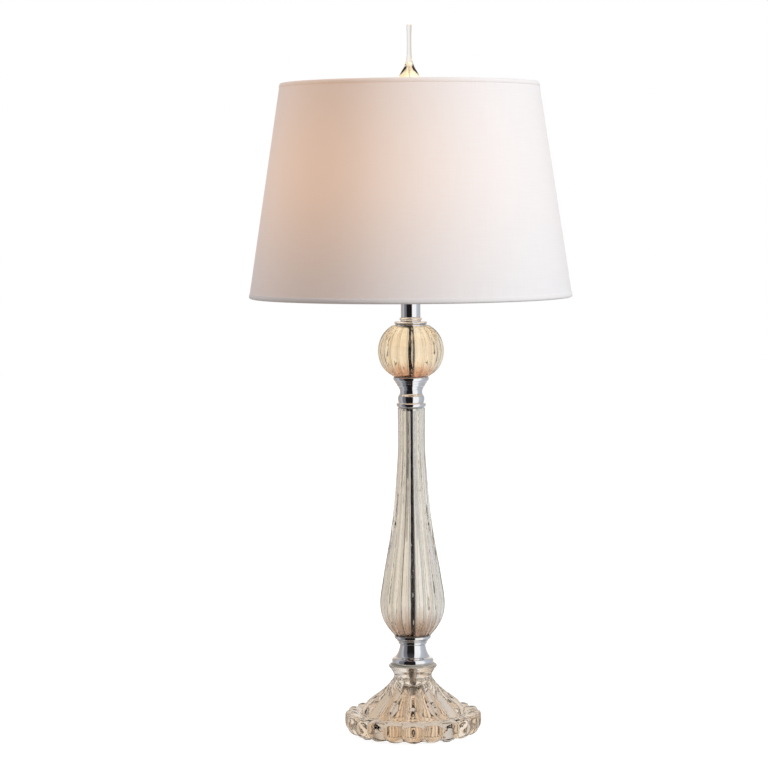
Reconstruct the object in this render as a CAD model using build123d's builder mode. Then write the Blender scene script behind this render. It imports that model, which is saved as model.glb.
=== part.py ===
from build123d import *
from math import atan2, cos, pi, sin, sqrt
import os

os.makedirs("parts", exist_ok=True)

# Candlestick table lamp, in millimetres. +Z is up, the origin is on the table under the
# middle of the foot, and the lamp's front faces -Y.

# ---- Clearances -------------------------------------------------------------------------
turning_gap = 0.05     # radial, between a shaft and the hole it turns in
sleeve_gap = 0.3       # radial, between pieces that slide or pull off
nest_gap = 0.4         # radial, between a spigot and the opening it centres
glue_gap = 0.15        # between the layers of the shade, and round pressed-in pieces
ring_gap = 0.8         # between the shade's wire rings and the cover rolled over them
rest_gap = 0.3         # between curved or loose pieces that lie on each other

# ---- Threaded pipe: the spine that every piece is threaded on ------------------------------
pipe_radius = 5.0
pipe_bore_radius = 3.6
pipe_hole_radius = pipe_radius + sleeve_gap
pipe_tail = 5.0        # pipe that shows below the nut
pipe_chamfer = 0.6

# ---- Foot: pressed glass, a bell with a rim of round lobes ---------------------------------
pad_thickness = 1.0
pad_radius = 4.5
pad_count = 4
foot_height = 81.0
foot_radius = 81.0     # over the lobes
lobe_count = 20
lobe_radius = 12.5
lobe_height = 25.5
lobe_top_rounding = 2.5
lobe_foot_rounding = 9.0
foot_lip_radius = 28.6
foot_lip_edge = 2.0
foot_neck_radius = 22.7
foot_neck_height = 67.8
skirt_upper_radius = 34.0
skirt_upper_height = 52.4
skirt_lower_radius = 50.5
skirt_lower_height = 39.2
foot_wall = 21.0       # from the lobes' outermost point in to the hollow
hollow_height = 55.0
hollow_ceiling_radius = 15.0
hollow_shoulder_radius = 40.0
hollow_shoulder_height = 33.0

# ---- Clamping hardware in the hollow of the foot -------------------------------------------
base_gasket_radius = 13.5
base_gasket_thickness = 1.0
base_washer_radius = 13.0
base_washer_thickness = 1.6
lock_washer_radius = 8.2
lock_washer_thickness = 1.8
lock_washer_slit = 1.4
nut_across_flats = 14.0
nut_height = 5.0

# ---- Cord inlet in the back of the foot ----------------------------------------------------
cord_bore_radius = 3.5
bushing_wall = 1.8
bushing_flange_radius = 7.5
bushing_flange_thickness = 2.0
bushing_rounding = 0.7
bushing_height = 10.0  # of its axis above the foot's underside

# ---- Soft rings between glass and metal ----------------------------------------------------
gasket_thickness = 0.8
gasket_inset = 1.2     # from the smaller of the two edges it lies between

# ---- Lower collar --------------------------------------------------------------------------
lower_collar_height = 34.2
lower_base_radius = 27.6
lower_base_edge = 1.8
lower_shoulder_radius = 21.6
lower_shoulder_height = 9.0
lower_waist_radius = 15.4
lower_waist_height = 20.5
lower_step_radius = 16.6
lower_step_height = 25.0
lower_step_thickness = 1.8
lower_flange_radius = 21.8
lower_flange_edge = 1.6
spigot_height = 4.0

# ---- Column glass --------------------------------------------------------------------------
column_height = 270.8
column_wall = 3.0
column_foot_radius = 22.0
column_turn_radius = 34.5
column_turn_height = 17.5
column_bulge_radius = 38.5
column_bulge_height = 38.5
column_body_radius = 31.1
column_body_height = 89.0
column_taper_radius = 21.9
column_taper_height = 149.0
column_neck_radius = 16.0
column_neck_height = 224.0
column_top_radius = 16.2
column_sleeve_gap = 1.2    # radial, round the pipe
column_sleeve_wall = 0.8

# ---- Upper collar --------------------------------------------------------------------------
upper_collar_height = 35.6
upper_base_radius = 16.6
upper_base_height = 2.0
upper_bead_radius = 18.0
upper_bead_height = 3.6
upper_bulge_radius = 15.9
upper_bulge_height = 9.8
upper_waist_radius = 13.4
upper_waist_height = 18.0
upper_flare_radius = 17.4
upper_flare_height = 27.5
upper_flange_radius = 21.4
upper_flange_edge = 1.6

# ---- Ball glass: an ellipsoid cut flat at both ends ----------------------------------------
ball_height = 60.6
ball_radius = 39.4
ball_half_axis = 36.8
ball_wall = 3.0
ball_sleeve_gap = 0.4
ball_sleeve_wall = 0.5

# ---- Cap, ring and tube over the ball ------------------------------------------------------
ball_cap_radius = 19.6
ball_cap_height = 3.8
ball_cap_rounding = 1.6
neck_ring_radius = 14.2
neck_ring_upper_radius = 12.8
neck_ring_height = 4.8
neck_ring_step_height = 2.9
neck_ring_rounding = 1.2
neck_tube_radius = 11.7
neck_tube_wall = 1.0
neck_tube_height = 35.0
neck_cap_radius = 12.6
neck_cap_height = 2.0

# ---- Harp saddle and ferrules --------------------------------------------------------------
saddle_thickness = 1.6
saddle_width = 10.0
saddle_disc_radius = 9.5
saddle_bend = 5.0
saddle_arm_height = 12.0
saddle_pin_height = 7.0
ferrule_length = 16.0
ferrule_wall = 1.2
ferrule_travel = 10.0
ferrule_margin = 9.0   # of straight leg above a raised ferrule

# ---- Socket (E26) and its turn switch ------------------------------------------------------
cap_hub_radius = 8.0
cap_hub_height = 6.0
cap_floor = 1.0
cap_wall = 0.8
cap_height = 15.5
set_screw_radius = 1.5
set_screw_length = 3.4
set_screw_height = 3.0
driver_slot_width = 0.6
driver_slot_depth = 0.9
shell_clearance = 3.0  # from the bulb's thread to the outside of the shell
shell_wall = 0.5
shell_lap = 4.5        # of the shell inside the cap
shell_height = 44.0
liner_thickness = 0.6
liner_inset = 1.5
body_height = 13.0
screw_thread_radius = 13.1
screw_shell_wall = 0.5
screw_shell_height = 25.0
screw_shell_floor_hole = 6.0
contact_radius = 4.0
contact_height = 2.0
terminal_screw_radius = 3.0
terminal_screw_head = 2.0
terminal_screw_spacing = 17.0
switch_shaft_radius = 2.0
switch_shaft_start = 5.0
switch_height = 8.0    # of its axis above the underside of the socket body
knob_radius = 6.0
knob_length = 14.0
knob_gap = 7.0         # from the shell to the knob
knob_flute_count = 8
knob_flute_radius = 1.0
knob_taper = 3         # degrees

# ---- Bulb ----------------------------------------------------------------------------------
bulb_tip_radius = 4.6
bulb_tip_height = 1.6
bulb_tip_rounding = 0.8
bulb_insulator_height = 4.0
bulb_cap_height = 19.0
bulb_cap_wall = 1.0
bulb_thread_pitch = 3.63
bulb_thread_depth = 0.8
bulb_thread_half_crest = 1.3
bulb_housing_height = 50.0
bulb_radius = 30.0
bulb_housing_wall = 1.6
bulb_globe_wall = 1.2
led_board_thickness = 1.6
led_board_drop = 4.8   # from the housing's rim down to its underside
led_chip_count = 8
led_chip_circle = 16.5
led_chip_width = 3.9
led_chip_height = 0.8

# ---- Shade ---------------------------------------------------------------------------------
shade_top_radius = 152.0
shade_bottom_radius = 190.5
shade_height = 251.0
shade_ring_wire = 1.15        # wire radius
cover_thickness = 0.7
cover_turn_in = 9.0           # of the cover over each ring
liner_board = 0.5
spider_drop = 8.5             # from the top edge down to the hub's top
hub_radius = 12.0
hub_thickness = 1.6
hub_hole_radius = 4.2
spoke_radius = 1.5
spoke_count = 3

# ---- Harp ----------------------------------------------------------------------------------
harp_wire_radius = 2.0
harp_leg_spacing = 62.0
harp_height = 201.95          # from the ends of its legs to the middle of its top wire
harp_bow_half_width = 58.0
harp_bow_share = 0.42         # of the harp's height, where it is widest
bracket_length = 26.0
bracket_width = 10.0
bracket_corner = 2.5
bracket_top = 1.6
bracket_floor = 1.2
rivet_radius = 3.4
rivet_height = 1.2
stud_radius = 3.15
stud_flange_radius = 6.5
stud_flange_thickness = 1.5
stud_height = 9.5             # above the hub's top
stud_pin_radius = 2.2
stud_chamfer = 0.5

# ---- Finial --------------------------------------------------------------------------------
finial_washer_radius = 9.5
finial_washer_thickness = 1.2
finial_base_radius = 10.5
finial_base_height = 4.0
finial_base_rounding = 1.3
finial_insert_radius = 5.0
finial_insert_height = 8.0
finial_skirt_radius = 12.8
finial_skirt_height = 8.0
finial_shoulder_radius = 10.8
finial_shoulder_height = 18.3
finial_waist_radius = 6.1
finial_waist_height = 25.0
finial_stem_radius = 2.8
finial_stem_height = 51.0
finial_tip_radius = 3.4
finial_glass_height = 71.8

# ---- Heights worked out from the sizes above -----------------------------------------------
foot_base = pad_thickness
foot_top = foot_base + foot_height
lower_collar_base = foot_top + gasket_thickness
lower_collar_top = lower_collar_base + lower_collar_height
column_base = lower_collar_top + gasket_thickness
column_top = column_base + column_height
upper_collar_base = column_top + gasket_thickness
upper_collar_top = upper_collar_base + upper_collar_height
ball_base = upper_collar_top + gasket_thickness
ball_top = ball_base + ball_height
ball_middle = ball_base + ball_height / 2
ball_cap_base = ball_top + gasket_thickness
neck_ring_base = ball_cap_base + ball_cap_height
neck_tube_base = neck_ring_base + neck_ring_height
neck_cap_base = neck_tube_base + neck_tube_height
saddle_base = neck_cap_base + neck_cap_height
socket_base = saddle_base + saddle_thickness
arm_top = saddle_base + saddle_arm_height
leg_base = arm_top + saddle_pin_height

# From the harp's top wire up: rivet head, bracket top, stud flange, hub, finial.
wire_top_height = leg_base + harp_height
rivet_base = wire_top_height + harp_wire_radius + rest_gap
rivet_top = rivet_base + rivet_height
bracket_top_height = rivet_top + turning_gap + bracket_top
hub_base = bracket_top_height + stud_flange_thickness
hub_top = hub_base + hub_thickness
finial_seat_height = hub_top + finial_washer_thickness
finial_glass_base = finial_seat_height + finial_base_height
overall_height = finial_glass_base + finial_glass_height
shade_top_height = hub_top + spider_drop
shade_bottom_height = shade_top_height - shade_height

shell_radius = screw_thread_radius + shell_clearance
cap_radius = shell_radius + sleeve_gap + cap_wall
bulb_waist_radius = screw_thread_radius + sleeve_gap
column_sleeve_radius = pipe_radius + column_sleeve_gap + column_sleeve_wall
ball_sleeve_radius = pipe_radius + ball_sleeve_gap + ball_sleeve_wall

lobe_circle = foot_radius - lobe_radius
hollow_mouth_radius = foot_radius - foot_wall
ceiling_height = foot_base + hollow_height
ball_end_radius = ball_radius * sqrt(1 - (ball_height / 2 / ball_half_axis) ** 2)
ball_inner_radius = ball_radius - ball_wall
ball_inner_half_axis = ball_half_axis - ball_wall
ball_opening_radius = ball_inner_radius * sqrt(1 - (ball_height / 2 / ball_inner_half_axis) ** 2)
column_foot_opening = column_foot_radius - column_wall
column_top_opening = column_top_radius - column_wall


def washer(outer_radius, inner_radius, thickness, base):
    """A flat ring about the lamp's axis, standing on the height `base`."""
    with BuildPart() as ring:
        with BuildSketch(Plane.XY.offset(base)):
            Circle(outer_radius)
            Circle(inner_radius, mode=Mode.SUBTRACT)
        extrude(amount=thickness)
    return ring


def wire_ring(ring_radius, wire_radius, height):
    """A closed ring of round wire about the lamp's axis."""
    with BuildPart() as ring:
        with BuildSketch(Plane.XZ):
            with Locations((ring_radius, height)):
                Circle(wire_radius)
        revolve(axis=Axis.Z)
    return ring


# ---- Foot ----------------------------------------------------------------------------------
# One lobe, turned about its own upright axis at the front of the rim.
with BuildPart() as lobe:
    with BuildSketch(Plane.XZ):
        with Locations((lobe_circle, foot_base)):
            Rectangle(lobe_radius, lobe_height, align=(Align.MIN, Align.MIN))
        fillet(vertices().group_by(Axis.X)[-1].sort_by(Axis.Z)[-1], lobe_top_rounding)
        fillet(vertices().group_by(Axis.X)[-1].sort_by(Axis.Z)[0], lobe_foot_rounding)
    revolve(axis=Axis((lobe_circle, 0, 0), (0, 0, 1)))

with BuildPart() as foot_glass:
    # Bell: a flared lip, a narrow neck and a concave skirt that runs out to the lobes.
    with BuildSketch(Plane.XZ):
        with BuildLine():
            Line((0, foot_top), (foot_lip_radius, foot_top))
            Line((foot_lip_radius, foot_top), (foot_lip_radius, foot_top - foot_lip_edge))
            Spline(
                (foot_lip_radius, foot_top - foot_lip_edge),
                (foot_neck_radius, foot_base + foot_neck_height),
                (skirt_upper_radius, foot_base + skirt_upper_height),
                (skirt_lower_radius, foot_base + skirt_lower_height),
                (lobe_circle, foot_base + lobe_height),
                tangents=((-1, -0.8), (1, -0.9)),
            )
            Line((lobe_circle, foot_base + lobe_height), (lobe_circle, foot_base))
            Line((lobe_circle, foot_base), (0, foot_base))
            Line((0, foot_base), (0, foot_top))
        make_face()
    revolve(axis=Axis.Z)
    with PolarLocations(0, lobe_count, start_angle=-90):
        add(lobe.part)
    # Hollow underside with a flat ceiling that the clamping washers bear on.
    with BuildSketch(Plane.XZ):
        with BuildLine():
            Line((0, ceiling_height), (hollow_ceiling_radius, ceiling_height))
            Spline(
                (hollow_ceiling_radius, ceiling_height),
                (hollow_shoulder_radius, foot_base + hollow_shoulder_height),
                (hollow_mouth_radius, foot_base),
                tangents=((1, -0.5), (0.1, -1)),
            )
            Line((hollow_mouth_radius, foot_base), (0, foot_base))
            Line((0, foot_base), (0, ceiling_height))
        make_face()
    revolve(axis=Axis.Z, mode=Mode.SUBTRACT)
    # Way for the pipe, and the stepped hole for the cord bushing through the back lobe.
    with Locations((0, 0, foot_top)):
        Hole(pipe_hole_radius)
    with Locations(Plane((0, foot_radius, foot_base + bushing_height), z_dir=(0, 1, 0))):
        CounterBoreHole(
            radius=cord_bore_radius + bushing_wall + glue_gap,
            counter_bore_radius=bushing_flange_radius + rest_gap,
            counter_bore_depth=bushing_flange_thickness,
            depth=foot_radius - hollow_shoulder_radius,
        )
foot_glass.part.label = "foot_glass"
export_step(foot_glass.part, "parts/foot_glass.step")

# Soft pads under four lobes.
pad_first_lobe = 2
pad_start_angle = -90 + pad_first_lobe * 360 / lobe_count
with BuildPart() as foot_pads:
    with BuildSketch():
        with PolarLocations(lobe_circle - pad_radius / 2, pad_count, start_angle=pad_start_angle):
            Circle(pad_radius)
    extrude(amount=pad_thickness)
foot_pads.part.label = "foot_pads"
export_step(foot_pads.part, "parts/foot_pads.step")

# Cord bushing: a flanged tube pushed in from the back.
bushing_seat = foot_radius - bushing_flange_thickness
bushing_inner_end = hollow_mouth_radius - bushing_wall
with BuildPart() as cord_bushing:
    with BuildSketch(Plane((0, bushing_inner_end, foot_base + bushing_height), z_dir=(0, 1, 0))):
        Circle(cord_bore_radius + bushing_wall)
    extrude(amount=bushing_seat - bushing_inner_end)
    with BuildSketch(Plane((0, bushing_seat, foot_base + bushing_height), z_dir=(0, 1, 0))):
        Circle(bushing_flange_radius)
    extrude(amount=bushing_flange_thickness)
    flange_rim = edges().filter_by(GeomType.CIRCLE).sort_by(Axis.Y)[-1]
    fillet(flange_rim, bushing_rounding)
    with Locations(Plane((0, foot_radius, foot_base + bushing_height), z_dir=(0, 1, 0))):
        Hole(cord_bore_radius)
cord_bushing.part.label = "cord_bushing"
export_step(cord_bushing.part, "parts/cord_bushing.step")

# ---- Clamping hardware ---------------------------------------------------------------------
base_gasket_base = ceiling_height - base_gasket_thickness
base_washer_base = base_gasket_base - base_washer_thickness
lock_washer_base = base_washer_base - lock_washer_thickness
nut_base = lock_washer_base - nut_height
pipe_base = nut_base - pipe_tail

base_gasket = washer(base_gasket_radius, pipe_hole_radius, base_gasket_thickness, base_gasket_base)
base_gasket.part.label = "base_gasket"
export_step(base_gasket.part, "parts/base_gasket.step")

base_washer = washer(base_washer_radius, pipe_hole_radius, base_washer_thickness, base_washer_base)
base_washer.part.label = "base_washer"
export_step(base_washer.part, "parts/base_washer.step")

# Spring washer: a ring with one slit.
with BuildPart() as base_lock_washer:
    with BuildSketch(Plane.XY.offset(lock_washer_base)):
        Circle(lock_washer_radius)
        Circle(pipe_hole_radius, mode=Mode.SUBTRACT)
        Rectangle(
            2 * lock_washer_radius, lock_washer_slit,
            align=(Align.MIN, Align.CENTER), mode=Mode.SUBTRACT,
        )
    extrude(amount=lock_washer_thickness)
base_lock_washer.part.label = "base_lock_washer"
export_step(base_lock_washer.part, "parts/base_lock_washer.step")

with BuildPart() as base_nut:
    with BuildSketch(Plane.XY.offset(nut_base)):
        RegularPolygon(nut_across_flats / 2, 6, major_radius=False)
        Circle(pipe_radius + turning_gap, mode=Mode.SUBTRACT)
    extrude(amount=nut_height)
base_nut.part.label = "base_nut"
export_step(base_nut.part, "parts/base_nut.step")

# ---- Threaded pipe -------------------------------------------------------------------------
pipe_top = socket_base + cap_hub_height
with BuildPart() as threaded_pipe:
    with BuildSketch(Plane.XY.offset(pipe_base)):
        Circle(pipe_radius)
        Circle(pipe_bore_radius, mode=Mode.SUBTRACT)
    extrude(amount=pipe_top - pipe_base)
    pipe_rims = edges().filter_by(GeomType.CIRCLE).sort_by(SortBy.RADIUS)[-2:]
    chamfer(pipe_rims, pipe_chamfer)
threaded_pipe.part.label = "threaded_pipe"
export_step(threaded_pipe.part, "parts/threaded_pipe.step")

# ---- Soft rings between glass and metal ----------------------------------------------------
foot_gasket = washer(
    lower_base_radius - gasket_inset, pipe_hole_radius, gasket_thickness, foot_top
)
foot_gasket.part.label = "foot_gasket"
export_step(foot_gasket.part, "parts/foot_gasket.step")

column_bottom_gasket = washer(
    min(lower_flange_radius, column_foot_radius) - gasket_inset,
    column_foot_opening, gasket_thickness, lower_collar_top,
)
column_bottom_gasket.part.label = "column_bottom_gasket"
export_step(column_bottom_gasket.part, "parts/column_bottom_gasket.step")

column_top_gasket = washer(
    min(upper_base_radius, column_top_radius) - gasket_inset,
    column_top_opening, gasket_thickness, column_top,
)
column_top_gasket.part.label = "column_top_gasket"
export_step(column_top_gasket.part, "parts/column_top_gasket.step")

ball_bottom_gasket = washer(
    min(upper_flange_radius, ball_end_radius) - gasket_inset,
    ball_opening_radius, gasket_thickness, upper_collar_top,
)
ball_bottom_gasket.part.label = "ball_bottom_gasket"
export_step(ball_bottom_gasket.part, "parts/ball_bottom_gasket.step")

ball_top_gasket = washer(
    min(ball_cap_radius, ball_end_radius) - gasket_inset,
    ball_opening_radius, gasket_thickness, ball_top,
)
ball_top_gasket.part.label = "ball_top_gasket"
export_step(ball_top_gasket.part, "parts/ball_top_gasket.step")

# ---- Lower collar: rounded shoulder, waist, step ring and flange ---------------------------
step_base = lower_collar_base + lower_step_height
step_top = step_base + lower_step_thickness
lower_spigot_radius = column_foot_opening - nest_gap
with BuildPart() as lower_collar:
    with BuildSketch(Plane.XZ):
        with BuildLine():
            Line((0, lower_collar_base), (lower_base_radius, lower_collar_base))
            Line(
                (lower_base_radius, lower_collar_base),
                (lower_base_radius, lower_collar_base + lower_base_edge),
            )
            Spline(
                (lower_base_radius, lower_collar_base + lower_base_edge),
                (lower_shoulder_radius, lower_collar_base + lower_shoulder_height),
                (lower_waist_radius, lower_collar_base + lower_waist_height),
                tangents=((-0.4, 1), (0, 1)),
            )
            Line((lower_waist_radius, lower_collar_base + lower_waist_height),
                 (lower_waist_radius, step_base))
            Line((lower_waist_radius, step_base), (lower_step_radius, step_base))
            Line((lower_step_radius, step_base), (lower_step_radius, step_top))
            Spline(
                (lower_step_radius, step_top),
                (lower_flange_radius, lower_collar_top - lower_flange_edge),
                tangents=((0.3, 1), (1, 0.5)),
            )
            Line((lower_flange_radius, lower_collar_top - lower_flange_edge),
                 (lower_flange_radius, lower_collar_top))
            Line((lower_flange_radius, lower_collar_top), (0, lower_collar_top))
            Line((0, lower_collar_top), (0, lower_collar_base))
        make_face()
    revolve(axis=Axis.Z)
    # Spigot that centres the column.
    with BuildSketch(Plane.XY.offset(lower_collar_top)):
        Circle(lower_spigot_radius)
    extrude(amount=spigot_height)
    with Locations((0, 0, lower_collar_top + spigot_height)):
        Hole(pipe_hole_radius)
lower_collar.part.label = "lower_collar"
export_step(lower_collar.part, "parts/lower_collar.step")


# ---- Column glass: a blown baluster, hollow, open at both ends -----------------------------
with BuildPart() as column_glass:
    for inset, mode in ((0, Mode.ADD), (column_wall, Mode.SUBTRACT)):
        with BuildSketch(Plane.XZ):
            with BuildLine():
                Line((0, column_base), (column_foot_radius - inset, column_base))
                Spline(
                    (column_foot_radius - inset, column_base),
                    (column_turn_radius - inset, column_base + column_turn_height),
                    (column_bulge_radius - inset, column_base + column_bulge_height),
                    tangents=((1, 0.8), (0, 1)),
                )
                Spline(
                    (column_bulge_radius - inset, column_base + column_bulge_height),
                    (column_body_radius - inset, column_base + column_body_height),
                    (column_taper_radius - inset, column_base + column_taper_height),
                    (column_neck_radius - inset, column_base + column_neck_height),
                    tangents=((0, 1), (0, 1)),
                )
                Line((column_neck_radius - inset, column_base + column_neck_height),
                     (column_top_radius - inset, column_top))
                Line((column_top_radius - inset, column_top), (0, column_top))
                Line((0, column_top), (0, column_base))
            make_face()
        revolve(axis=Axis.Z, mode=mode)
column_glass.part.label = "column_glass"
export_step(column_glass.part, "parts/column_glass.step")

# Bright tube over the pipe, from the lower collar's spigot to the upper collar's.
column_sleeve_base = lower_collar_top + spigot_height
column_sleeve_top = upper_collar_base - spigot_height
column_sleeve = washer(
    column_sleeve_radius, column_sleeve_radius - column_sleeve_wall,
    column_sleeve_top - column_sleeve_base, column_sleeve_base,
)
column_sleeve.part.label = "column_sleeve"
export_step(column_sleeve.part, "parts/column_sleeve.step")

# ---- Upper collar: bead, bulge, waist and flared flange ------------------------------------
bead_middle = upper_collar_base + upper_bead_height
bead_half = upper_bead_height - upper_base_height
upper_spigot_radius = ball_opening_radius - nest_gap
with BuildPart() as upper_collar:
    with BuildSketch(Plane.XZ):
        with BuildLine():
            Line((0, upper_collar_base), (upper_base_radius, upper_collar_base))
            Line((upper_base_radius, upper_collar_base),
                 (upper_base_radius, bead_middle - bead_half))
            ThreePointArc(
                (upper_base_radius, bead_middle - bead_half),
                (upper_bead_radius, bead_middle),
                (upper_base_radius, bead_middle + bead_half),
            )
            Line((upper_base_radius, bead_middle + bead_half),
                 (upper_bulge_radius, bead_middle + bead_half))
            Spline(
                (upper_bulge_radius, bead_middle + bead_half),
                (upper_bulge_radius, upper_collar_base + upper_bulge_height),
                (upper_waist_radius, upper_collar_base + upper_waist_height),
                (upper_flare_radius, upper_collar_base + upper_flare_height),
                (upper_flange_radius, upper_collar_top - upper_flange_edge),
                tangents=((0.2, 1), (1, 0.8)),
            )
            Line((upper_flange_radius, upper_collar_top - upper_flange_edge),
                 (upper_flange_radius, upper_collar_top))
            Line((upper_flange_radius, upper_collar_top), (0, upper_collar_top))
            Line((0, upper_collar_top), (0, upper_collar_base))
        make_face()
    revolve(axis=Axis.Z)
    # Spigots that centre the ball above and the column below.
    with BuildSketch(Plane.XY.offset(upper_collar_top)):
        Circle(upper_spigot_radius)
    extrude(amount=spigot_height)
    with BuildSketch(Plane.XY.offset(upper_collar_base)):
        Circle(column_top_opening - nest_gap)
    extrude(amount=-spigot_height)
    with Locations((0, 0, upper_collar_top + spigot_height)):
        Hole(pipe_hole_radius)
upper_collar.part.label = "upper_collar"
export_step(upper_collar.part, "parts/upper_collar.step")

# ---- Ball glass ----------------------------------------------------------------------------
with BuildPart() as ball_glass:
    for half_width, half_axis, mode in (
        (ball_radius, ball_half_axis, Mode.ADD),
        (ball_inner_radius, ball_inner_half_axis, Mode.SUBTRACT),
    ):
        with BuildSketch(Plane.XZ):
            with Locations((0, ball_middle)):
                Ellipse(half_width, half_axis)
                Rectangle(2 * ball_radius, ball_height, mode=Mode.INTERSECT)
                Rectangle(
                    ball_radius, ball_height,
                    align=(Align.MAX, Align.CENTER), mode=Mode.SUBTRACT,
                )
        revolve(axis=Axis.Z, mode=mode)
ball_glass.part.label = "ball_glass"
export_step(ball_glass.part, "parts/ball_glass.step")

ball_sleeve_base = upper_collar_top + spigot_height
ball_sleeve_top = ball_cap_base - spigot_height
ball_sleeve = washer(
    ball_sleeve_radius, ball_sleeve_radius - ball_sleeve_wall,
    ball_sleeve_top - ball_sleeve_base, ball_sleeve_base,
)
ball_sleeve.part.label = "ball_sleeve"
export_step(ball_sleeve.part, "parts/ball_sleeve.step")

# ---- Cap, ring and tube over the ball ------------------------------------------------------
with BuildPart() as ball_cap:
    with BuildSketch(Plane.XY.offset(ball_cap_base)):
        Circle(ball_cap_radius)
    extrude(amount=ball_cap_height)
    fillet(edges().filter_by(GeomType.CIRCLE), ball_cap_rounding)
    with BuildSketch(Plane.XY.offset(ball_cap_base)):
        Circle(ball_opening_radius - nest_gap)
    extrude(amount=-spigot_height)
    with Locations((0, 0, neck_ring_base)):
        Hole(pipe_hole_radius)
ball_cap.part.label = "ball_cap"
export_step(ball_cap.part, "parts/ball_cap.step")

with BuildPart() as neck_ring:
    with BuildSketch(Plane.XY.offset(neck_ring_base)):
        Circle(neck_ring_radius)
    extrude(amount=neck_ring_step_height)
    fillet(edges().sort_by(Axis.Z)[-1], neck_ring_rounding)
    with BuildSketch(Plane.XY.offset(neck_ring_base)):
        Circle(neck_ring_upper_radius)
    extrude(amount=neck_ring_height)
    with Locations((0, 0, neck_tube_base)):
        Hole(pipe_hole_radius)
neck_ring.part.label = "neck_ring"
export_step(neck_ring.part, "parts/neck_ring.step")

neck_tube = washer(
    neck_tube_radius, neck_tube_radius - neck_tube_wall, neck_tube_height, neck_tube_base
)
neck_tube.part.label = "neck_tube"
export_step(neck_tube.part, "parts/neck_tube.step")

neck_cap = washer(neck_cap_radius, pipe_hole_radius, neck_cap_height, neck_cap_base)
neck_cap.part.label = "neck_cap"
export_step(neck_cap.part, "parts/neck_cap.step")

# ---- Harp saddle: a strip with two upturned arms that end in pins --------------------------
leg_offset = harp_leg_spacing / 2
with BuildPart() as harp_saddle:
    with BuildSketch(Plane.XZ):
        with BuildLine():
            saddle_line = FilletPolyline(
                (-leg_offset, arm_top),
                (-leg_offset, saddle_base + saddle_thickness / 2),
                (leg_offset, saddle_base + saddle_thickness / 2),
                (leg_offset, arm_top),
                radius=saddle_bend,
            )
        trace(saddle_line, line_width=saddle_thickness)
    extrude(amount=saddle_width / 2, both=True)
    with BuildSketch(Plane.XY.offset(saddle_base)):
        Circle(saddle_disc_radius)
    extrude(amount=saddle_thickness)
    with BuildSketch(Plane.XY.offset(arm_top)):
        with GridLocations(harp_leg_spacing, 0, 2, 1):
            Circle(harp_wire_radius)
    extrude(amount=saddle_pin_height)
    with Locations((0, 0, socket_base)):
        Hole(pipe_hole_radius)
harp_saddle.part.label = "harp_saddle"
export_step(harp_saddle.part, "parts/harp_saddle.step")

# ---- Socket --------------------------------------------------------------------------------
# Cap: a hub on the pipe, a flared floor and a lip that the shell pushes into.
cap_top = socket_base + cap_height
cap_floor_base = socket_base + cap_hub_height
shell_base = cap_top - shell_lap
with BuildPart() as socket_cap:
    with BuildSketch(Plane.XZ):
        with BuildLine():
            Polyline(
                (pipe_radius + turning_gap, socket_base),
                (cap_hub_radius, socket_base),
                (cap_hub_radius, cap_floor_base),
                (cap_radius, shell_base - cap_floor),
                (cap_radius, cap_top),
                (cap_radius - cap_wall, cap_top),
                (cap_radius - cap_wall, shell_base),
                (shell_radius - shell_wall, shell_base),
                (cap_hub_radius, cap_floor_base + cap_floor),
                (pipe_radius + turning_gap, cap_floor_base + cap_floor),
                close=True,
            )
        make_face()
    revolve(axis=Axis.Z)
    with Locations(Plane((0, cap_hub_radius, socket_base + set_screw_height), z_dir=(0, 1, 0))):
        Hole(set_screw_radius + turning_gap, depth=cap_hub_radius - pipe_radius)
socket_cap.part.label = "socket_cap"
export_step(socket_cap.part, "parts/socket_cap.step")

# Set screw in the back of the hub, its tip against the pipe, with a driver slot.
with BuildPart() as cap_set_screw:
    set_screw_plane = Plane(
        (0, pipe_radius + turning_gap, socket_base + set_screw_height), z_dir=(0, 1, 0)
    )
    with BuildSketch(set_screw_plane):
        Circle(set_screw_radius)
    extrude(amount=set_screw_length)
    with BuildSketch(set_screw_plane.offset(set_screw_length)):
        Rectangle(2 * set_screw_radius, driver_slot_width)
    extrude(amount=-driver_slot_depth, mode=Mode.SUBTRACT)
cap_set_screw.part.label = "cap_set_screw"
export_step(cap_set_screw.part, "parts/cap_set_screw.step")

body_base = shell_base + liner_inset
switch_axis_height = body_base + switch_height
switch_plane = Plane((0, 0, switch_axis_height), z_dir=(0, -1, 0))
shell_inner_radius = shell_radius - shell_wall
liner_radius = shell_inner_radius - glue_gap
body_radius = liner_radius - liner_thickness - glue_gap
switch_hole_radius = switch_shaft_radius + 2 * sleeve_gap

with BuildPart() as socket_shell:
    with BuildSketch(Plane.XY.offset(shell_base)):
        Circle(shell_radius)
        Circle(shell_inner_radius, mode=Mode.SUBTRACT)
    extrude(amount=shell_height)
    with BuildSketch(switch_plane):
        Circle(switch_hole_radius)
    extrude(amount=shell_radius + cap_wall, mode=Mode.SUBTRACT)
socket_shell.part.label = "socket_shell"
export_step(socket_shell.part, "parts/socket_shell.step")

with BuildPart() as insulating_liner:
    with BuildSketch(Plane.XY.offset(body_base)):
        Circle(liner_radius)
        Circle(liner_radius - liner_thickness, mode=Mode.SUBTRACT)
    extrude(amount=shell_height - 2 * liner_inset)
    with BuildSketch(switch_plane):
        Circle(switch_hole_radius)
    extrude(amount=shell_radius, mode=Mode.SUBTRACT)
insulating_liner.part.label = "insulating_liner"
export_step(insulating_liner.part, "parts/insulating_liner.step")

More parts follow.
